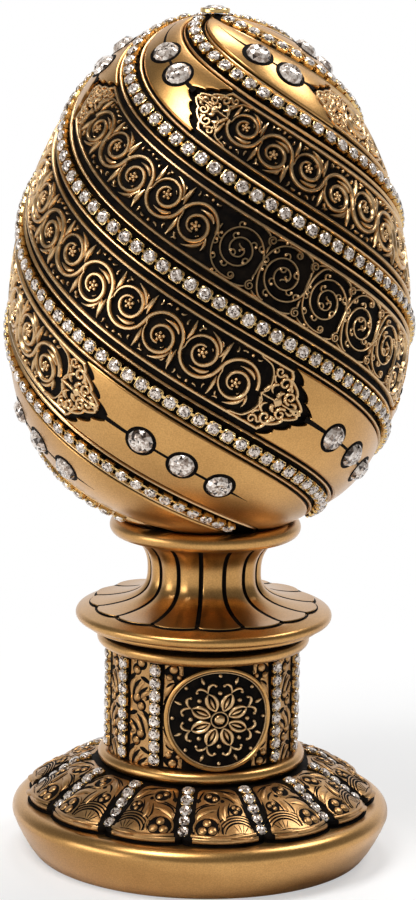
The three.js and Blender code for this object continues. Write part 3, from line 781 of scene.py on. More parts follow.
def scroll_unit(relief):
    """A fine branch that fills the panel's height and winds inwards, with hooks and a bud in its middle."""
    ring = SCROLL_RING
    lead = bend((-SCROLL_PITCH + 2.2, 8.1), (-ring - 2.4, 8.4), (-ring - 0.1, 4.6), (-ring, 0), points=12)
    curl = spiral(0, 0, ring, 1.5, 180, 2.05, 84, rate=0.72)
    path = np.concatenate([lead[:-1], curl])
    relief.ridge(path, np.linspace(0.62, 0.48, len(path)), LOW)
    hooks(relief, curl, 40, 0.75, ((0.06, 1), (0.16, -1), (0.25, -1), (0.35, -1), (0.46, 1), (0.56, -1),
                                   (0.68, -1), (0.84, 1)))
    # A second branch closes the ring on its free side and ends in a curl
    over = bend((7.2, -3.4), (7.6, 4.2), (4.6, 8.6), (-1.4, 7.9), points=24)
    relief.ridge(over, np.linspace(0.5, 0.55, 24), LOW)
    relief.ridge(spiral(-1.5, 6.85, 1.05, 0.35, 80, 1.4, 18), 0.46, LOW)
    hooks(relief, over, 35, 0.62, ((0.3, 1), (0.55, 1), (0.8, -1)))
    # The branch's tip splits into three
    for bow, end in (((0.5, 0.1), (-0.6, 0.4)), ((0.9, -0.9), (0.5, -1.5)), ((-0.6, -0.6), (-1.3, -0.9))):
        relief.curve((0.4, 0.5, 0.25), LOW, curl[-1], bow, end, points=7)
    # Arcs along the rims of the panel and curls between two scrolls
    edge = -SCROLL_PITCH / 2
    for side in (-1, 1):
        relief.ridge(spiral(edge, side * 6.6, 1.35, 0.35, -side * 90, side * 1.5, 24), 0.46, LOW)
        for way in (-1, 1):
            leaf = [(edge + way * x, side * y) for x, y in ((1.1, 7.4), (2.4, 8.5), (4.4, 8.3))]
            relief.curve((0.3, 0.62, 0.15), LOW, *leaf, points=16)
        stem = (edge, side * 5.0), (edge + 0.5, side * 4.0), (edge, side * 2.8)
        relief.curve((0.25, 0.6, 0.12), LOW, *stem, points=16)


def vine_unit(relief):
    """A wave of the bold vine, its branch wound round a flower, and reed leaves in the corners."""
    half = LEAF_PITCH / 2
    relief.ridge(bend((-half, 0), (-half + 1.3, 6.9), (half - 1.3, 6.9), (half, 0), points=26), 1.2, TALL)
    coil = spiral(0.2, -1.2, 4.7, 1.75, 12, -1.3, 44, rate=1.2)
    relief.stroke(coil, (0.5, 1.25, 0.7), TALL, peak=0.35)
    relief.curve((0.7, 0.8, 0.6), TALL, (half - 0.4, 2.2), (half - 0.2, 0.9), coil[0], points=16)
    relief.dome(0.2, -1.2, 0.62, TALL, sides=10)
    for i in range(5):
        away = heading(72 * i)[0]
        relief.dome(0.2 + away[0], -1.2 + away[1], 0.5, TALL - 0.15, sides=8)
    # Split leaf under the crest, and one on the coil's outer side
    relief.curve((0.5, 1.25, 0.15), TALL, (-3.6, 2.0), (-2.4, 3.9), (1.4, 3.3), peak=0.45)
    relief.curve((0.4, 1.2, 0.15), TALL, (-3.9, -3.4), (-3.2, -6.2), (0.6, -7.2), peak=0.5)
    relief.curve((0.4, 1.0, 0.15), TALL, (-4.0, -2.4), (-4.9, -4.0), (-4.5, -5.9), points=10)
    # Reed leaves that stand between two waves
    for reed in (((half + 0.5, 1.7), (half + 1.0, 4.6), (half + 0.3, 7.5)),
                 ((half - 0.3, -7.5), (half - 0.8, -4.75), (half - 0.3, -2.0))):
        relief.curve((0.35, 1.35, 0.15), TALL, *reed, peak=0.55)
    for leaf in ((half - 1.6, 6.0, 100, 0.85), (half + 2.2, 5.2, 75, 0.8), (half - 2.1, -5.6, 250, 0.85),
                 (half + 1.4, -5.4, 285, 0.8), (-1.6, 6.9, 175, 0.8), (1.6, 7.2, 5, 0.8),
                 (2.4, -6.9, 0, 0.8), (-1.4, -3.4, 150, 0.5)):
        comma(relief, *leaf)
    relief.dome(0, 7.2, 0.5, TALL, sides=8)


def add_scrolls(form, scrolls):
    """The ornament between a panel's finials: a number of fine scrolls, then the bold vine."""
    u = low_end.at(FINIAL_REACH)
    stop = high_end.at(FINIAL_REACH)
    units = [(bud_unit, BUD_PITCH)] + [(scroll_unit, SCROLL_PITCH)] * scrolls if scrolls else []
    number = 0
    while True:
        draw, pitch = units[number] if number < len(units) else (vine_unit, LEAF_PITCH)
        scale = panel_half(along_of(u + pitch / 2)) / PANEL_HALF
        if u + pitch * scale > stop + 3:
            break
        origin = u + pitch * scale / 2

        def place(x, y, h, origin=origin, scale=scale):
            return panel_place(origin + x * scale, y, h)

        draw(Relief(form, place, mirror=number % 2 == 1))
        u += pitch * scale
        number += 1


def add_lattice(form, end):
    """Gold tracery of a finial: ribbons, loops and knots inside a scalloped border."""
    y = np.linspace(-FINIAL_HALF, FINIAL_HALF, 97)
    relief = Relief(form, end.place)
    relief.ridge(np.stack([lattice_edge(y) + 0.5, y], axis=-1), 1.05, TRACERY)
    relief.ridge(np.stack([lattice_end(y) - 0.25, y], axis=-1), 0.7, TRACERY)
    relief.curve((1.4, 2.3, 0.9), TRACERY - 0.05, (2.9, 0), (4.4, 0), (6.2, 0), points=8)
    relief.dome(4.3, 0, 0.42, TRACERY + 0.06, BLACK, sides=10)
    relief.dome(10.5, 0, 1.75, TRACERY, sides=4)
    relief.ridge([(6.0, 0), (9.2, 0)], 0.7, TRACERY)
    relief.ridge([(11.8, 0), (16.0, 0)], 0.75, TRACERY)
    for side in (-1, 1):
        half = Relief(form, end.place, mirror=side < 0)
        for *curl, points, wide, narrow in ((8.0, 2.5, 1.75, 0.5, 250, 1.2, 20, 1.15, 0.8),
                                            (11.4, 5.0, 2.0, 0.5, 215, -1.2, 22, 1.25, 0.85),
                                            (14.4, 7.1, 1.4, 0.4, 190, 1.1, 16, 1.0, 0.7)):
            half.ridge(spiral(*curl, points), np.linspace(wide, narrow, points), TRACERY)
        half.curve((0.9, 1.3, 0.6), TRACERY, (5.0, 0.7), (5.4, 2.0), (7.0, 1.2), points=8)
        half.curve((0.9, 1.1, 0.9), TRACERY, (8.6, 4.0), (9.0, 5.0), (9.6, 4.8), points=8)
        half.curve((0.9, 1.1, 0.7), TRACERY, (12.0, 6.6), (12.6, 7.4), (13.4, 6.6), points=8)
        half.curve((1.2, 1.5, 0.4), TRACERY, (11.4, 1.1), (11.4, 2.6), (9.9, 2.9), points=10)
        half.curve((0.8, 1.35, 0.4), TRACERY, (12.9, 4.0), (14.4, 3.8), (14.8, 2.2), (13.0, 1.5), points=14)
        half.ridge(bend((14.6, 3.1), (15.2, 2.2), (15.7, 0.9), points=8), 0.85, TRACERY)
        half.ridge(bend((14.0, 4.2), (15.1, 4.7), (15.2, 5.8), points=8), 0.9, TRACERY)
        half.ridge(bend((9.4, 0.9), (9.0, 1.2), (8.9, 1.6), points=5), 0.8, TRACERY)


def surface_place(station):
    """A flat patch on the plain surface of a band round a place on its middle."""
    u0 = middle_of(station)

    def place(x, y, h):
        along, across = off_middle(along_of(u0 + x), y)
        return band_point(along, across, crown(along, across) * fade(along) - h)

    return place


def add_engraving(form):
    """Black lines from the finials through the large stones, and a black ring round each stone."""
    for end, gems, tail in ((low_end, LOW_GEMS, 6.5), (high_end, HIGH_GEMS, 12.0)):
        tip = along_of(end.tip)
        u0 = middle_of(tip)
        stations = [tip - end.inward * gem for gem in gems]
        near, far = middle_of(stations[0]) - u0, middle_of(stations[-1]) - u0
        relief = Relief(form, surface_place(tip))
        first = np.linspace(end.inward * 0.9, near, 12)
        relief.ridge(np.stack([first, np.zeros(12)], axis=-1), np.linspace(1.7, 0.95, 12), 0.05, BLACK)
        last = far - end.inward * (GEM_RADIUS + tail)
        line = np.linspace(near, last, 40)
        fine = 0.85 * (1 - smooth(np.abs(line), abs(far) + 2, abs(last))) + 0.15
        width = np.where(np.abs(line) > abs(far), fine, 0.95)
        relief.ridge(np.stack([line, np.zeros(40)], axis=-1), width, 0.05, BLACK)
        for station in stations:
            Relief(form, surface_place(station)).loop(GEM_RADIUS + 0.25, 1.4, 0.07, BLACK, sides=36)


def egg_band(scrolls):
    form = Form()
    add_border(form)
    add_plain_end(form, low_end, SURFACE_START)
    add_plain_end(form, high_end, SURFACE_END)
    add_floor(form)
    add_frames(form)
    add_lattice(form, low_end)
    add_lattice(form, high_end)
    add_scrolls(form, scrolls)
    add_engraving(form)
    return form


def turned(form, number):
    """The form of the first band or chain, turned to another one's place round the egg."""
    made = Form()
    made.add_form(form, turn_z(360 * number / BANDS))
    return made


bands = [egg_band(scrolls) for scrolls in (5, 0, 0)]
for number in range(BANDS):
    band = turned(bands[number % len(bands)], number)
    band.piece(f"egg_band_{number + 1}", CASTING, "satin_gold", ["egg_casting"])


# Stones
rng = np.random.default_rng(4)
# Tones of the facets' painted reflections, from dark to white.
FACET_GLINTS = [0.0, 0.25, 0.45, 0.7, 1.0, 1.0]


def frame_at(origin, out, along):
    """Matrix that stands a stone on a surface: z is outwards and x runs along."""
    z = out / np.linalg.norm(out)
    x = along - z * np.dot(along, z)
    x /= np.linalg.norm(x)
    matrix = np.eye(4)
    matrix[:3] = np.stack([x, np.cross(z, x), z, origin], axis=-1)
    return matrix


def cut_stone(form, radius, rise, sides, sink, z=0.0):
    """Crown of a cut stone: girdle, kite facets, star facets and a table that dips as the culet shows."""
    turn = 2 * np.pi * np.arange(sides) / sides
    points = []
    for share, offset, height in ((1, 0, -sink), (1, 0, 0), (0.82, 1, rise * 0.62), (0.58, 0, rise),
                                  (0.3, 1, rise * 0.86)):
        at = turn + offset * np.pi / sides
        reach = share * radius
        points += [np.column_stack([reach * np.cos(at), reach * np.sin(at), np.full(sides, z + height)])]
    points = np.concatenate([*points, [[0, 0, z + rise * 0.97]]])
    i = np.arange(sides)
    j = (i + 1) % sides
    foot, waist, belt, table, dip = (k * sides for k in range(5))
    centre = np.full(sides, 5 * sides)
    # The girdle is painted dark, and every other facet gets a painted reflection tone at random.
    form.add(points, np.stack([foot + i, foot + j, waist + j, waist + i], axis=-1), STONE, 0.2)
    for corners in ((waist + i, waist + j, belt + i), (belt + i, waist + j, belt + j),
                    (belt + i, belt + j, table + j), (table + i, belt + i, table + j),
                    (table + i, table + j, dip + i), (dip + i, table + j, dip + j),
                    (dip + i, dip + j, centre)):
        form.add(points, np.stack(corners, axis=-1), STONE, rng.choice(FACET_GLINTS, sides))


def square_cup(form, half, low, high, chamfer):
    """Box cup with cut corners and four prongs that lean over the stone."""
    c = half - chamfer
    outline = np.array([(half, -c), (half, c), (c, half), (-c, half)])
    outline = np.concatenate([outline, -outline])
    rings = [(1, low), (1, high), (0.92, high + 0.05), (0.86, high - 0.3)]
    points = np.concatenate([np.column_stack([outline * s, np.full(8, z)]) for s, z in rings])
    form.add(points, grid_faces(4, 8, around=True), CUP)
    form.add(points, np.arange(8)[None, ::-1], CUP)
    form.add(points, 24 + np.arange(8)[None], CUP)
    prong = 0.17 * half * np.array([(1, 0), (0, 1), (-1, 0), (0, -1)])
    levels = [(1.0, 1.0, -0.4), (1.03, 1.1, 0.12), (0.97, 1.0, 0.36), (0.9, 0.7, 0.46)]
    for corner in np.array([(1, 1), (-1, 1), (-1, -1), (1, -1)]) * (c + 0.02):
        points = np.concatenate([np.column_stack([prong * width + corner * reach, np.full(4, high + up)])
                                 for reach, width, up in levels])
        form.add(points, grid_faces(4, 4, around=True), CUP)
        form.add(points, [[12, 13, 14, 15], [3, 2, 1, 0]], CUP)


def set_stone(width, low, high, rise, cup=0.5):
    """One stone on its square cup, with z = 0 on the surface that carries it."""
    form = Form()
    square_cup(form, width * cup, low, high, 0.14 * width)
    cut_stone(form, width / 2, rise, 8, 0.25, high + 0.05)
    return form


def chain():
    """The chain in the first slot: stones on their cups, with a bar from each cup to the next."""
    form = Form()
    variants = [set_stone(CHAIN_STONE_WIDTH, 0.0, 1.45, 0.7) for _ in range(7)]
    link = Form()
    bar = (-0.35, 0.15), (0.35, 0.15), (0.35, 0.6), (-0.35, 0.6)
    link.add([(x, y, z) for x in (1.3, 2.9) for y, z in bar], grid_faces(2, 4, around=True)[:, ::-1], CUP)
    joints = [CHAIN_START]
    while joints[-1] < MERIDIAN - CHAIN_END_MARGIN + CHAIN_PITCH:
        joints.append(joints[-1] + CHAIN_PITCH * float(steepness(radius_at(joints[-1]))))
    joints = np.array(joints[:-1])
    middles = (joints[:-1] + joints[1:]) / 2
    for i, at in enumerate(middles):
        here, ahead = (band_point(place, 0.0, SLOT_DEPTH - STONE_GAP) for place in (at, at + 0.2))
        matrix = frame_at(here, band_point(at, 0.0, 0.0) - here, ahead - here)
        form.add_form(variants[i % len(variants)], matrix)
        if i + 1 < len(middles):
            form.add_form(link, matrix)
    return form


first_chain = chain()
for number in range(BANDS):
    turned(first_chain, number).piece(f"egg_chain_stones_{number + 1}", STONE_SET, "cup_gold",
                                      [f"egg_chain_{number + 1}"], sharp=15)


def large_stones(word, end, distances):
    """The large round stones at one end of all bands."""
    form = Form()
    tip = along_of(end.tip)
    for number in range(BANDS):
        for distance in distances:
            along = tip - end.inward * distance
            here = band_point(along, half_at(along), 0.0)
            out = band_point(along, half_at(along), -1.0) - here
            ahead = band_point(along + 0.2, half_at(along + 0.2), 0.0) - here
            body = Form()
            cut_stone(body, GEM_RADIUS, 1.6, 12, 0.5)
            form.add_form(body, turn_z(360 * number / BANDS) @ frame_at(here, out, ahead))
    nodes = [f"{word}_stone_{b + 1}_{i + 1}" for b in range(BANDS) for i in range(len(distances))]
    form.piece(f"{word}_stones", STONE_SET, "clear_stone", nodes, sharp=15)


large_stones("low", low_end, LOW_GEMS)
large_stones("high", high_end, HIGH_GEMS)


def lathe(form, profile, sides, material=0):
    """Body of revolution from (radius, z) pairs."""
    profile = np.array(profile, float)
    azimuth = np.linspace(0, 360, sides, endpoint=False)
    form.sheet(polar(profile[:, :1], azimuth, profile[:, 1:]), material, around=True)


def round_edge(radius, z, size, start, end, steps=8):
    """Profile points of an arc: centre radius and height, size, and angles from outwards towards up."""
    turn = np.radians(np.linspace(start, end, steps))
    return [(radius + size * math.cos(t), z + size * math.sin(t)) for t in turn]


def pole_setting():
    form = Form()
    z = EGG_TOP_Z + STONE_GAP
    lathe(form, [(0.01, z), (3.7, z), (3.9, z + 0.2), (3.9, z + 1.0), (3.75, z + 1.2), (3.4, z + 1.15),
                 (3.35, z + 0.6), (0.01, z + 0.6)], 40, CUP)
    cut_stone(form, 3.1, 0.95, 12, 0.2, z + 0.95)
    form.piece("pole_setting", STONE_SET, "clear_stone", ["pole_bezel", "pole_stone"], sharp=15)


pole_setting()


# Spool
def underside_z(radius):
    """Height of the egg's underside, with the gap to its cup."""
    cosine = np.minimum(radius / EGG_RADIUS, 1) ** (1 / EGG_LOW_FULLNESS)
    return float(EGG_WAIST_Z - EGG_DROP * np.sqrt(1 - cosine * cosine)) - SEAT_GAP


def flute_rows(profile, neck_z):
    """Rings of the fluted neck: for each flute three columns of a line, then those of its face."""
    columns = [(-1, 0), (0, 0), (1, 0)] + [(0, share) for share in np.linspace(0.06, 0.94, 13)]
    rows = []
    for radius, z in profile:
        foot = smooth(radius, 24, FLUTE_FOOT_RADIUS) * (z < neck_z)
        width = math.degrees(FLUTE_LINE / radius)
        for flute in range(FLUTES):
            for side, share in columns:
                azimuth = FLUTE_PHASE + 360 * flute / FLUTES + side * width
                if share:
                    bow = math.sin(math.pi * share)
                    azimuth += width + share * (360 / FLUTES - 2 * width)
                    reach = radius + FLUTE_SWELL * bow - (1 - bow ** 0.6) * foot
                else:
                    reach = radius - foot - (0 if side else 0.5)
                rows.append(polar(reach, azimuth, z))
    count = len(columns)
    black = np.arange(count * FLUTES) % count < 2
    return np.array(rows).reshape(len(profile), -1, 3), np.where(black, BLACK, GOLD)


def spool():
    form = Form()
    flange_z = SPOOL_Z + COVE_HEIGHT
    top_z = flange_z + FLANGE_THICKNESS
    lathe(form, [(SPIGOT_HOLE, SPOOL_Z + 2), (SPIGOT_HOLE, SPOOL_Z), (COVE_RADIUS, SPOOL_Z),
                 (COVE_RADIUS, flange_z + 0.1), (31.2, flange_z + 0.1)], 120, BLACK)
    lip = round_edge(31.6, flange_z + 0.75, 0.75, -90, 60)
    edge = round_edge(FLANGE_RADIUS - 1.55, flange_z + 2.75, 1.55, -75, 78, 14)
    lathe(form, [(31.0, flange_z)] + lip + edge
          + [(FLANGE_RADIUS - 3.0, top_z - 0.35), (FLUTE_FOOT_RADIUS + 0.2, top_z),
             (FLUTE_FOOT_RADIUS - 3, top_z + 0.05)], 180, GOLD)
    neck_z = SPOOL_Z + NECK_RISE
    collar_z = SPOOL_Z + COLLAR_RISE
    collar_radius = COLLAR_RADIUS - COLLAR_ROUND
    collar_mid_z = underside_z(collar_radius) - COLLAR_ROUND
    flare = [(NECK_RADIUS + (FLUTE_FOOT_RADIUS - NECK_RADIUS) * s ** 2.6,
              neck_z - (neck_z - top_z - 0.5) * (1 - (1 - s) ** 1.6)) for s in np.linspace(1, 0, 26)]
    mouth = [(NECK_RADIUS + (collar_radius - 0.6 - NECK_RADIUS) * s ** 2.2,
              neck_z + (collar_z - neck_z) * (1 - (1 - s) ** 1.5)) for s in np.linspace(0, 1, 20)[1:]]
    foot = [(FLUTE_FOOT_RADIUS + 0.12, top_z - 0.1), (FLUTE_FOOT_RADIUS + 0.1, top_z + 0.3)]
    rows, material = flute_rows(foot + flare + mouth, neck_z)
    of_faces = np.tile(material, len(rows) - 1)
    of_faces[:len(material)] = BLACK
    form.add(rows, grid_faces(len(rows), len(material), around=True), of_faces)
    # Black line round the feet of the flutes
    azimuth = np.linspace(0, 360, 361)
    phase = ((azimuth - FLUTE_PHASE) * FLUTES / 360) % 1
    reach = FLUTE_FOOT_RADIUS + 0.28 - (1 - np.sin(np.pi * phase) ** 0.6)

    def flange_top(x, y, h):
        return polar(y, x, top_z + 0.02 + h)

    Relief(form, flange_top).ridge(np.stack([azimuth, reach + 0.25], axis=-1), 0.8, 0.04, BLACK)
    # Collar and cup
    cup = [(r, underside_z(r)) for r in np.linspace(collar_radius - COLLAR_ROUND * 0.9, 0.02, 12)]
    ring = round_edge(collar_radius, collar_mid_z, COLLAR_ROUND, -80, 150, 18)
    lathe(form, [(collar_radius - 3.2, collar_mid_z - 1.1)] + ring + cup, 120, GOLD)
    form.piece("spool", CASTING, "satin_gold", ["spool_casting"])


spool()


# Drum
def drum_place(azimuth, lift=0.0):
    """Patch on the drum's wall round an azimuth: x to the right, y up, both in millimetres."""

    def place(x, y, h):
        turn = np.degrees(x / DRUM_WALL_RADIUS)
        return polar(DRUM_WALL_RADIUS + lift + h, azimuth + turn, WALL_MIDDLE + y)

    return place


def half_round(radius, low):
    return round_edge(radius - RING_HEIGHT / 2, low + RING_HEIGHT / 2, RING_HEIGHT / 2, -90, 90, 15)


def drum():
    form = Form()
    wall = DRUM_WALL_RADIUS
    foot = half_round(FOOT_RING_RADIUS, DRUM_Z)
    lathe(form, [(SPIGOT_HOLE, DRUM_Z + 1), (SPIGOT_HOLE, DRUM_Z)] + foot + [(wall, WALL_LOW)], 180, GOLD)
    lathe(form, [(wall, WALL_LOW - 0.2), (wall, WALL_HIGH + 0.2)], 180, BLACK)
    top = half_round(TOP_RING_RADIUS, WALL_HIGH)
    lathe(form, [(wall, WALL_HIGH)] + top + [(12, DRUM_Z + DRUM_HEIGHT)], 180, GOLD)
    form.piece("drum", CASTING, "satin_gold", ["drum_casting"])


def strip_plate(form, place, low, left, right):
    """Gold ground of a strip on a patch, up to the wall's top. left gives its edge for a height."""
    y = np.linspace(low, STRIP_END, 24)[:, None]
    share = np.linspace(0, 1, 9)
    x = left(y) + (right - left(y)) * share
    h = np.where((share == 0) | (share == 1), -0.1, PLATE_RISE) * np.ones_like(y)
    form.add(place(x, np.broadcast_to(y, x.shape), h), grid_faces(24, 9), RAISED)


def berry_group(relief, y):
    """Two berries and a dot in black hollows."""
    relief.pool(-0.75, y + 1.0, 2.05)
    relief.pool(0.85, y - 0.9, 1.75)
    relief.dome(-0.7, y + 1.1, 1.2, 0.7)
    relief.dome(0.75, y - 1.1, 1.15, 0.7)
    relief.dome(2.1, y + 1.3, 0.55, 0.5, sides=8)


def leaf_fan(relief, y):
    """Three broad curved fingers with black between and beside them."""
    for width, *corners in ((1.7, (2.7, -3.0), (3.2, 0.4), (0.6, 2.1)),
                            (1.6, (1.0, -3.4), (1.0, -0.9), (-1.8, 1.0)),
                            (1.4, (-1.0, -3.4), (-1.3, -2.2), (-3.3, -1.2))):
        relief.curve((0.6, width, 0.35), 0.55, *np.add(corners, (0, y)), points=10, peak=0.5)
    for width, *corners in ((1.2, (1.9, -3.5), (2.2, -0.4), (-0.6, 1.7)),
                            (1.2, (0.0, -3.7), (-0.2, -1.8), (-2.9, -0.1)),
                            (1.5, (3.7, -1.6), (3.6, 1.8), (1.2, 3.0)),
                            (1.1, (-2.2, -3.8), (-2.7, -2.9), (-3.7, -2.3)),
                            (1.2, (-0.6, 2.3), (-2.0, 2.2), (-3.5, 1.0))):
        relief.ink(width, *np.add(corners, (0, y)), points=10)


def flipped(place, across=1, up=1):
    """A patch with x or y turned round by -1."""
    return lambda x, y, h: place(across * x, up * y, h)


def drum_relief():
    form = Form()
    azimuths = [MEDALLION_AZIMUTH + side * (COLUMN_FIRST + (i + 0.5) * COLUMN_STEP)
                for side in (-1, 1) for i in range(COLUMNS_PER_SIDE - 1)]
    for number, azimuth in enumerate(azimuths):
        place = drum_place(azimuth)
        strip_plate(form, place, -STRIP_END, lambda y: -STRIP_HALF + 0 * y, STRIP_HALF)
        way = 1 if number % 2 else -1
        for k in (1, 0, -1):
            relief = Relief(form, flipped(place, across=way))
            berry_group(relief, STRIP_REPEAT * k + 2.6)
            leaf_fan(relief, STRIP_REPEAT * k - 2.6)
            way = -way
    # Corners beside the medallions
    outer = math.radians(COLUMN_FIRST) * DRUM_WALL_RADIUS - 2.1
    for azimuth in (MEDALLION_AZIMUTH, MEDALLION_AZIMUTH + 180):
        for side, up in ((-1, -1), (-1, 1), (1, -1), (1, 1)):
            corner = flipped(drum_place(azimuth), side, up)
            relief = Relief(form, corner)
            strip_plate(form, corner, 3.0,
                        lambda y: np.maximum(np.sqrt(MEDALLION_RADIUS ** 2 - y ** 2) + 1.0, 9.3), outer)
            relief.pool(12.6, 12.0, 2.2)
            relief.dome(12.2, 12.9, 1.2, 0.7)
            relief.pool(10.9, 10.3, 1.5)
            relief.dome(13.4, 10.6, 1.0, 0.7)
            relief.dome(10.6, 10.9, 0.7, 0.6, sides=10)
            relief.curve((0.5, 1.5, 0.3), 0.55, (14.6, 5.2), (13.6, 7.6), (12.0, 9.0), points=10)
            relief.curve((0.3, 1.1, 0.3), 0.55, (9.7, 14.0), (10.4, 12.6), (9.9, 11.6), points=10)
            relief.ink(0.7, (14.2, 7.9), (13.4, 8.9), (11.9, 9.3), points=10)
            relief.ink(0.7, (14.9, 3.6), (13.9, 5.4), (13.0, 6.6), points=10)
            relief.ink(0.6, (11.2, 14.4), (11.3, 13.6), (10.6, 12.6), points=8)
    form.piece("drum_relief", CARVED, "satin_gold")


def medallion(word, azimuth):
    form = Form()
    place = drum_place(azimuth, MEDALLION_LIFT)
    face = [(reach, -0.05) for reach in (0.01, 4, 8, 12, MEDALLION_RADIUS - 0.9)]
    rim = np.array([(-0.95, -0.1), (-0.98, 0.25), (-0.8, 0.5), (-0.45, 0.6), (-0.1, 0.45), (0.02, 0.1),
                    (0.02, -0.9)]) + (MEDALLION_RADIUS, 0)
    for profile, sides, material in ((face, 64, BLACK), (rim, 96, GOLD)):
        reach, h = np.array(profile).T[:, :, None]
        turn = np.linspace(0, 2 * np.pi, sides, endpoint=False)
        x, y, h = np.broadcast_arrays(reach * np.cos(turn), reach * np.sin(turn), h)
        form.sheet(place(x, y, h)[::-1], material, around=True)
    rosette(Relief(form, place))
    form.piece(f"medallion_{word}_face", CASTING, "inlaid_gold", [f"medallion_{word}"])


def rosette(relief):
    """A flower of eight petals inside a ring of palmettes."""
    relief.dome(0, 0, 1.35, 0.7, sides=20)
    relief.loop(2.15, 0.4, 0.45)
    for towards in np.arange(22.5, 360, 45):
        away, left = heading(towards)
        for side in (-1, 1):
            petal = away * 2.6, away * 4.4 + left * side * 2.1, away * 6.9 + left * side * 1.2, away * 7.6
            relief.curve((0.5, 1.05, 0.3), 0.6, *petal, points=16, peak=0.45)
            curl = (away * 7.9, away * 9.6 + left * side * 0.5, away * 10.3 + left * side * 2.1,
                    away * 9.0 + left * side * 2.6)
            relief.curve((0.3, 0.85, 0.35), 0.55, *curl, points=14, peak=0.5)
            relief.dome(*(away * 9.0 + left * side * 2.55), 0.42, 0.6, sides=8)
        vein = away * 3.4, away * 4.6 + left * 0.1, away * 6.2
        relief.curve((0.3, 0.95, 0.15), 0.65, *vein, points=8, peak=0.6)
        leaf = away * 10.4, away * 11.2 + left * 0.1, away * 12.4
        relief.curve((0.3, 0.95, 0.12), 0.55, *leaf, points=8)
        between = heading(towards + 22.5)[0]
        relief.dome(*(between * 7.3), 0.6, 0.6, sides=10)
        relief.dome(*(between * 12.0), 0.5, 0.55, sides=10)
    relief.loop(12.95, 0.3, 0.35, sides=64)


def columns():
    form = Form()
    variants = [set_stone(COLUMN_STONE_WIDTH, 0.0, 0.75, 0.6, 0.45) for _ in range(6)]
    for side in (-1, 1):
        for i in range(COLUMNS_PER_SIDE):
            azimuth = MEDALLION_AZIMUTH + side * (COLUMN_FIRST + i * COLUMN_STEP)
            for k in range(COLUMN_STONES):
                z = WALL_MIDDLE + (k + 0.5 - COLUMN_STONES / 2) * COLUMN_PITCH
                origin = polar(DRUM_WALL_RADIUS + STONE_GAP, azimuth, z)
                matrix = frame_at(origin, polar(1.0, azimuth, 0.0), np.array([0, 0, 1.0]))
                form.add_form(variants[(k + i) % 6], matrix)
    nodes = [f"drum_stones_{word}_{i + 1}" for word in ("left", "right") for i in range(COLUMNS_PER_SIDE)]
    form.piece("drum_stone_columns", STONE_SET, "cup_gold", nodes, sharp=15)


drum()
drum_relief()
medallion("front", MEDALLION_AZIMUTH)
medallion("back", MEDALLION_AZIMUTH + 180)
columns()


# Skirt and plinth
def skirt_point(phase, up):
    """Reach and height of the skirt for a phase from one valley (0) to the next (1) and a share upwards."""
    lobe_share = np.sqrt(np.abs(np.sin(np.pi * phase)))
    end = LOBE_END_RADIUS - LOBE_SCALLOP * (1 - lobe_share)
    radius = end + (SKIRT_TOP_RADIUS - end) * up
    lip_z = PLINTH_TOP_Z + LOBE_LIP
    crown_z = lip_z + (SKIRT_TOP_Z - lip_z) * (1 - (1 - np.clip(up, 0, 1)) ** SKIRT_CURVE)
    puff = LOBE_PUFF * (lobe_share - 1) * np.sin(np.pi * np.minimum(up + 0.25, 1))
    return radius, crown_z + puff


def skirt_place(lobe):
    """Patch on a lobe: x across it at the scale of its outer end, y from there inwards."""

    def surface(x, y):
        phase = 0.5 + x / LOBE_WIDTH
        radius, z = skirt_point(phase, y / LOBE_LENGTH)
        return polar(radius, LOBE_PHASE + 360 * (lobe + phase) / LOBES, z)

    def place(x, y, h):
        x, y, h = np.broadcast_arrays(np.asarray(x, float), np.asarray(y, float), np.asarray(h, float))
        over = surface(x + 0.05, y) - surface(x - 0.05, y)
        normal = np.cross(over, surface(x, y + 0.05) - surface(x, y - 0.05))
        normal /= np.linalg.norm(normal, axis=-1, keepdims=True)
        return surface(x, y) + normal * h[..., None]

    return place


def lobe_plate(form, place):
    """The lobe's gold cushion, clear of the stone rows on both sides."""
    y = np.linspace(0.2, 19.75, 32)[:, None]
    radius = skirt_point(0.5, y / LOBE_LENGTH)[0]
    half = LOBE_WIDTH / 2 * (1 - 2 * ROW_CLEAR / (2 * np.pi * radius / LOBES))
    half = half * np.sqrt(np.clip(1 - ((y - 9.9) / 10.2) ** 10, 0.3, 1))
    share = np.sin(np.linspace(-1, 1, 25) * np.pi / 2)
    x = share * half
    h = PLATE_RISE - 0.5 * np.abs(share) ** 14 * np.ones_like(y) - 0.4 * (y > 19.7)
    form.add(place(x, np.broadcast_to(y, x.shape), h), grid_faces(32, 25), RAISED)


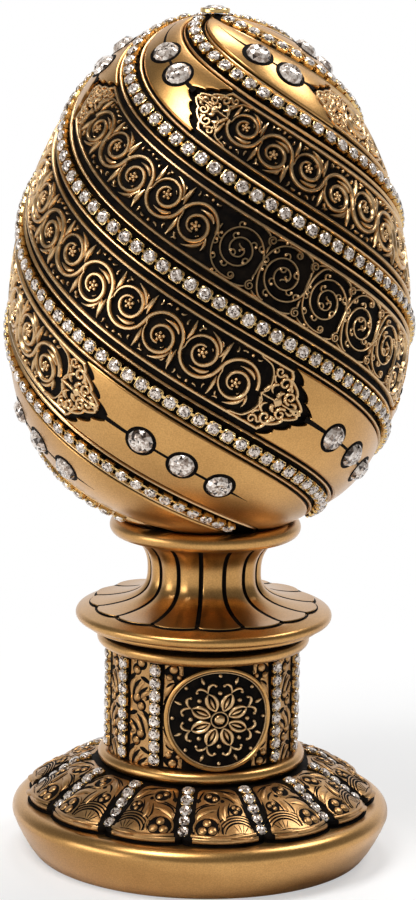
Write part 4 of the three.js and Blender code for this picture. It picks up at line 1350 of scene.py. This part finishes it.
def lobe_relief(relief):
    """A shell, leaves and berries of one lobe."""
    x = np.linspace(-8.2, 8.2, 40)
    relief.ridge(np.stack([x, 0.35 + 0.012 * x * x], axis=-1), 1.1, 0.55)
    # The shell, with its ribs and the lines round it
    relief.dome(-4.4, 1.6, 3.0, 0.2, sides=24, squash=1.25)
    for fan, reach in ((-2.5, 2.4), (-1.2, 3.1), (0.1, 3.3), (1.4, 2.8)):
        corners = (-4.6 + 0.35 * fan, 1.7), (-4.5 + 0.7 * fan, 2.6), (-4.3 + fan, 1.5 + reach * 0.8)
        relief.ink(0.32, *corners, points=8)
    for reach, width in ((3.9, 0.6), (4.8, 0.55), (5.7, 0.5), (6.6, 0.45)):
        relief.line(arc(-4.2, 1.0, reach, 8, 150, 18) * (1.0, 0.95), width)
    # Berries in their hollows
    for pool, berries, radius, height, sides in (
        ((4.2, 3.5, 3.25), ((2.9, 2.5), (5.5, 2.5), (4.2, 4.8)), 1.2, 0.62, 12),
        ((-4.6, 9.0, 2.2), ((-5.4, 9.4), (-4.3, 8.2), (-4.0, 9.9)), 0.72, 0.5, 10),
        ((2.1, 14.4, 2.75, 1.15), ((1.2, 13.6), (3.1, 15.0)), 1.05, 0.55, 12),
        ((6.6, 13.0, 0.9), (), 0, 0, 0),
        ((-1.0, 12.7, 0.8), (), 0, 0, 0),
    ):
        relief.pool(*pool)
        for berry in berries:
            relief.dome(*berry, radius, height, sides=sides)
    relief.ridge(arc(4.2, 3.5, 3.5, -20, 200, 20), 0.5, 0.4)
    relief.ridge(arc(2.1, 14.4, 2.9, 30, 330, 20), 0.5, 0.4)
    # Leaves, and the black lines between them
    relief.curve((0.6, 2.3, 0.3), 0.45, (7.0, 6.2), (6.2, 9.2), (1.2, 9.2), points=14, peak=0.5)
    relief.curve((0.4, 1.9, 0.3), 0.45, (-0.9, 5.4), (0.2, 8.0), (-1.6, 11.0), peak=0.5)
    relief.curve((0.3, 1.9, 0.2), 0.45, (-6.4, 11.8), (-5.4, 14.6), (-2.2, 16.6))
    for points, width, *corners in (
        (12, 0.4, (-7.4, 0.9), (-4.4, 1.9), (-1.0, 0.9)),
        (14, 0.6, (7.4, 8.0), (6.2, 11.2), (1.4, 11.0)),
        (12, 0.6, (0.6, 5.6), (1.6, 7.4), (0.2, 10.6)),
        (12, 0.6, (-2.1, 6.6), (-1.9, 9.4), (-3.2, 11.6)),
        (12, 0.7, (-4.6, 11.6), (-3.6, 13.8), (-1.2, 14.6)),
        (12, 0.7, (-6.2, 15.4), (-3.0, 18.4), (2.0, 18.2)),
        (12, 0.7, (6.8, 11.9), (6.2, 15.0), (4.6, 17.6)),
        (8, 0.7, (7.4, 4.6), (8.0, 6.2), (7.8, 8.2)),
        (8, 0.7, (0.2, 1.4), (0.4, 3.4), (1.0, 5.0)),
        (12, 0.5, (7.6, 9.6), (4.0, 12.4), (0.0, 11.8)),
        (8, 0.8, (-7.4, 6.6), (-7.6, 9.0), (-6.8, 11.2)),
        (12, 0.45, (-6.4, 12.6), (-5.2, 16.2), (-1.4, 17.4)),
        (10, 0.45, (2.0, 8.6), (4.4, 8.6), (6.2, 7.0)),
    ):
        relief.ink(width, *corners, points=points)


def plinth():
    form = Form()
    rim = round_edge(PLINTH_RIM_RADIUS - 3.2, PLINTH_TOP_Z - 3.4, 3.3, -12, 88, 16)
    lathe(form, [(RECESS_RADIUS, RECESS_Z), (RECESS_RADIUS, PLINTH_FOOT_Z),
                 (PLINTH_FOOT_RADIUS - 0.5, PLINTH_FOOT_Z), (PLINTH_FOOT_RADIUS, PLINTH_FOOT_Z + 0.5),
                 (47.4, 3.2), (48.9, 5.8), (50.3, 8.6), *rim, (44, PLINTH_TOP_Z + 0.02)], 240, GOLD)
    lathe(form, [(0.02, RECESS_Z), (RECESS_RADIUS, RECESS_Z)], 120, BLACK)
    form.piece("plinth", CASTING, "satin_gold", ["base_casting"])


def skirt():
    form = Form()
    phases = np.arange(24) / 24
    azimuth = LOBE_PHASE + 360 * (np.arange(LOBES)[:, None] + phases).ravel() / LOBES
    phase = np.tile(phases, LOBES)
    foot_reach = skirt_point(phase, 0.0)[0]
    wall = [polar(foot_reach + out, azimuth, PLINTH_TOP_Z + up)
            for out, up in ((-0.15, 0.6), (0.15, 0.75), (0.32, 1.2), (0.22, 1.7), (-0.05, LOBE_LIP))]
    clear = ROW_CLEAR * LOBES / (2 * np.pi * LOBE_END_RADIUS)
    form.sheet(np.array(wall), np.where((phase > clear) & (phase < 1 - clear), RAISED, BLACK), around=True)
    # The black ground starts with a band on the plinth's top round the lobes' feet: a painted shadow where
    # the lobes meet the plinth.
    rows = [polar(foot_reach + out, azimuth, PLINTH_TOP_Z + up) for out, up in ((0.8, 0.03), (-0.1, 0.1))]
    for up in np.linspace(0, 1, 26):
        radius, z = skirt_point(phase, up)
        rows.append(polar(radius, azimuth, z))
    rows.append(polar(12.0, azimuth, SKIRT_TOP_Z))
    form.sheet(np.array(rows), BLACK, around=True)
    for lobe in range(LOBES):
        place = skirt_place(lobe)
        lobe_plate(form, place)
        lobe_relief(Relief(form, flipped(place, across=1 if (lobe + LOBES // 2) % LOBES % 2 else -1)))
    form.piece("skirt", CARVED, "satin_gold", ["base_casting"])


def skirt_rows():
    form = Form()
    variants = [set_stone(ROW_STONE_WIDTH, -0.2, 0.65, 0.68, 0.45) for _ in range(6)]
    # Places of the stones on the way down a valley, each with the slope there
    places = []
    up = 1.0
    travelled = -ROW_INNER_MARGIN
    while len(places) < ROW_STONES:
        radius, z = skirt_point(0.0, up)
        next_radius, next_z = skirt_point(0.0, up - 0.005)
        step = math.hypot(next_radius - radius, next_z - z)
        if travelled >= (len(places) + 0.5) * ROW_STONE_PITCH:
            places.append((radius, z, (next_radius - radius) / step, (z - next_z) / step))
        travelled += step
        up -= 0.005
    for lobe in range(LOBES):
        azimuth = LOBE_PHASE + 360 * lobe / LOBES
        for i, (radius, z, level, fall) in enumerate(places):
            stand = polar(radius, azimuth, z), polar(fall, azimuth, level), polar(level, azimuth, -fall)
            form.add_form(variants[(lobe + i) % 6], frame_at(*stand))
    form.piece("skirt_stone_rows", STONE_SET, "cup_gold", ["base_casting"], sharp=15)


plinth()
skirt()
skirt_rows()
pad = frame["nodes"]["felt_pad"]
pad.data.materials.clear()
pad.data.materials.append(felt)

# Camera, at the photograph's distance and height
IMAGE_HEIGHT = 900
CAMERA_PLACE = Vector((0, -0.85, 0.28))
CAMERA_AIM = Vector((0, 0, 0.1112))
CAMERA_LENS = 129.1
CAMERA_ROLL = 1.1
CENTRE_SHIFT = 1.2

camera_data = bpy.data.cameras.new("camera")
camera = bpy.data.objects.new("camera", camera_data)
bpy.context.scene.collection.objects.link(camera)
camera_data.lens = CAMERA_LENS
camera_data.sensor_width = 36
camera_data.shift_x = CENTRE_SHIFT / IMAGE_HEIGHT
camera_data.clip_start = 0.01
aim = (CAMERA_AIM - CAMERA_PLACE).to_track_quat("-Z", "Y").to_matrix().to_4x4()
roll = Matrix.Rotation(math.radians(CAMERA_ROLL), 4, "Z")
camera.matrix_world = Matrix.Translation(CAMERA_PLACE) @ aim @ roll
bpy.context.scene.camera = camera


# Floor, backdrop and light
FLOOR_HALF = 3.0
SHADOW_NEAR, SHADOW_FAR = 0.075, 0.3      # the floor's shading fades into plain white between these reaches
SHADOW_SHARE = 0.5
MIRROR_FAR = 0.6
STUDIO_LOW, STUDIO_HIGH = 0.5, 0.14       # tone of the studio at the horizon and overhead
STUDIO_STRENGTH = 0.6
LIGHT_AIM = Vector((0, 0, 0.12))
SEEN = "Is Camera Ray"
MIRRORED = ("Is Glossy Ray", "Is Transmission Ray")


def math_node(tree, operation, first, second):
    node = add_node(tree, "ShaderNodeMath", operation=operation)
    tree.links.new(first, node.inputs[0])
    tree.links.new(second, node.inputs[1])
    return node.outputs[0]


def ray_kinds(tree, *words):
    """1 for the given kinds of rays."""
    path = add_node(tree, "ShaderNodeLightPath")
    total = path.outputs[words[0]]
    for word in words[1:]:
        total = math_node(tree, "MAXIMUM", total, path.outputs[word])
    return total


def mix_shaders(tree, share, first, second, output):
    mix = add_node(tree, "ShaderNodeMixShader", {"Fac": share})
    tree.links.new(first.outputs[0], mix.inputs[1])
    tree.links.new(second.outputs[0], mix.inputs[2])
    tree.links.new(mix.outputs[0], tree.nodes[output].inputs["Surface"])


def floor():
    mesh = bpy.data.meshes.new("floor")
    corners = [(x * FLOOR_HALF, y * FLOOR_HALF, 0) for x, y in ((-1, -1), (1, -1), (1, 1), (-1, 1))]
    mesh.from_pydata(corners, [], [(0, 1, 2, 3)])
    made = bpy.data.objects.new("floor", mesh)
    bpy.context.scene.collection.objects.link(made)
    material, tree, shader, place = node_material("floor")
    fill(tree, shader, {"Base Color": (0.9, 0.9, 0.9, 1), "Roughness": 0.9, "Specular IOR Level": 0.1})
    reach = add_node(tree, "ShaderNodeVectorMath", operation="LENGTH")
    tree.links.new(place, reach.inputs[0])
    reach = reach.outputs["Value"]
    direct = math_node(tree, "MULTIPLY", ray_kinds(tree, SEEN),
                       span(tree, reach, 1 - SHADOW_SHARE, 1.0, SHADOW_NEAR, SHADOW_FAR, "SMOOTHSTEP"))
    mirrored = math_node(tree, "MULTIPLY", ray_kinds(tree, *MIRRORED),
                         span(tree, reach, 0.0, 1.0, SHADOW_NEAR, MIRROR_FAR, "SMOOTHSTEP"))
    white = add_node(tree, "ShaderNodeEmission", {"Color": (1, 1, 1, 1), "Strength": 1.0})
    mix_shaders(tree, math_node(tree, "MAXIMUM", direct, mirrored), shader, white, "Material Output")
    mesh.materials.append(material)


def world():
    """A dim studio that lights the object, and plain white where the set is seen."""
    made = bpy.data.worlds.new("studio")
    bpy.context.scene.world = made
    made.use_nodes = True
    tree = made.node_tree
    direction = add_node(tree, "ShaderNodeTexCoord").outputs["Generated"]
    split = add_node(tree, "ShaderNodeSeparateXYZ", {"Vector": direction}).outputs
    height = span(tree, split["Z"], 0.0, 1.0)
    tone = ramp(tree, height, [(0.0, (STUDIO_LOW,) * 3), (1.0, (STUDIO_HIGH,) * 3)])
    studio = tree.nodes["Background"]
    fill(tree, studio, {"Color": tone, "Strength": STUDIO_STRENGTH})
    backdrop = math_node(tree, "MULTIPLY", span(tree, split["Y"], 0.0, 1.0, 0.45, 0.9, "SMOOTHSTEP"),
                         ray_kinds(tree, SEEN, *MIRRORED))
    seen = math_node(tree, "MAXIMUM", backdrop, ray_kinds(tree, SEEN))
    white = add_node(tree, "ShaderNodeBackground", {"Color": (1, 1, 1, 1), "Strength": 1.0})
    mix_shaders(tree, seen, studio, white, "World Output")


def area_light(name, place, size, power):
    data = bpy.data.lights.new(name, "AREA")
    data.shape = "RECTANGLE"
    data.size, data.size_y = size
    data.energy = power
    made = bpy.data.objects.new(name, data)
    made.location = place
    made.rotation_euler = (LIGHT_AIM - Vector(place)).to_track_quat("-Z", "Y").to_euler()
    bpy.context.scene.collection.objects.link(made)


floor()
world()
area_light("key", (-0.34, -0.45, 1.04), (0.42, 0.4), 8.5)
area_light("left", (-0.85, -0.45, 0.18), (0.6, 0.3), 2.5)
area_light("right", (0.54, 0.27, 0.97), (0.36, 0.36), 4.5)
area_light("top", (0.06, 0.44, 1.1), (0.32, 0.3), 3.5)

bpy.context.scene.view_settings.view_transform = "Standard"
bpy.context.view_layer.update()
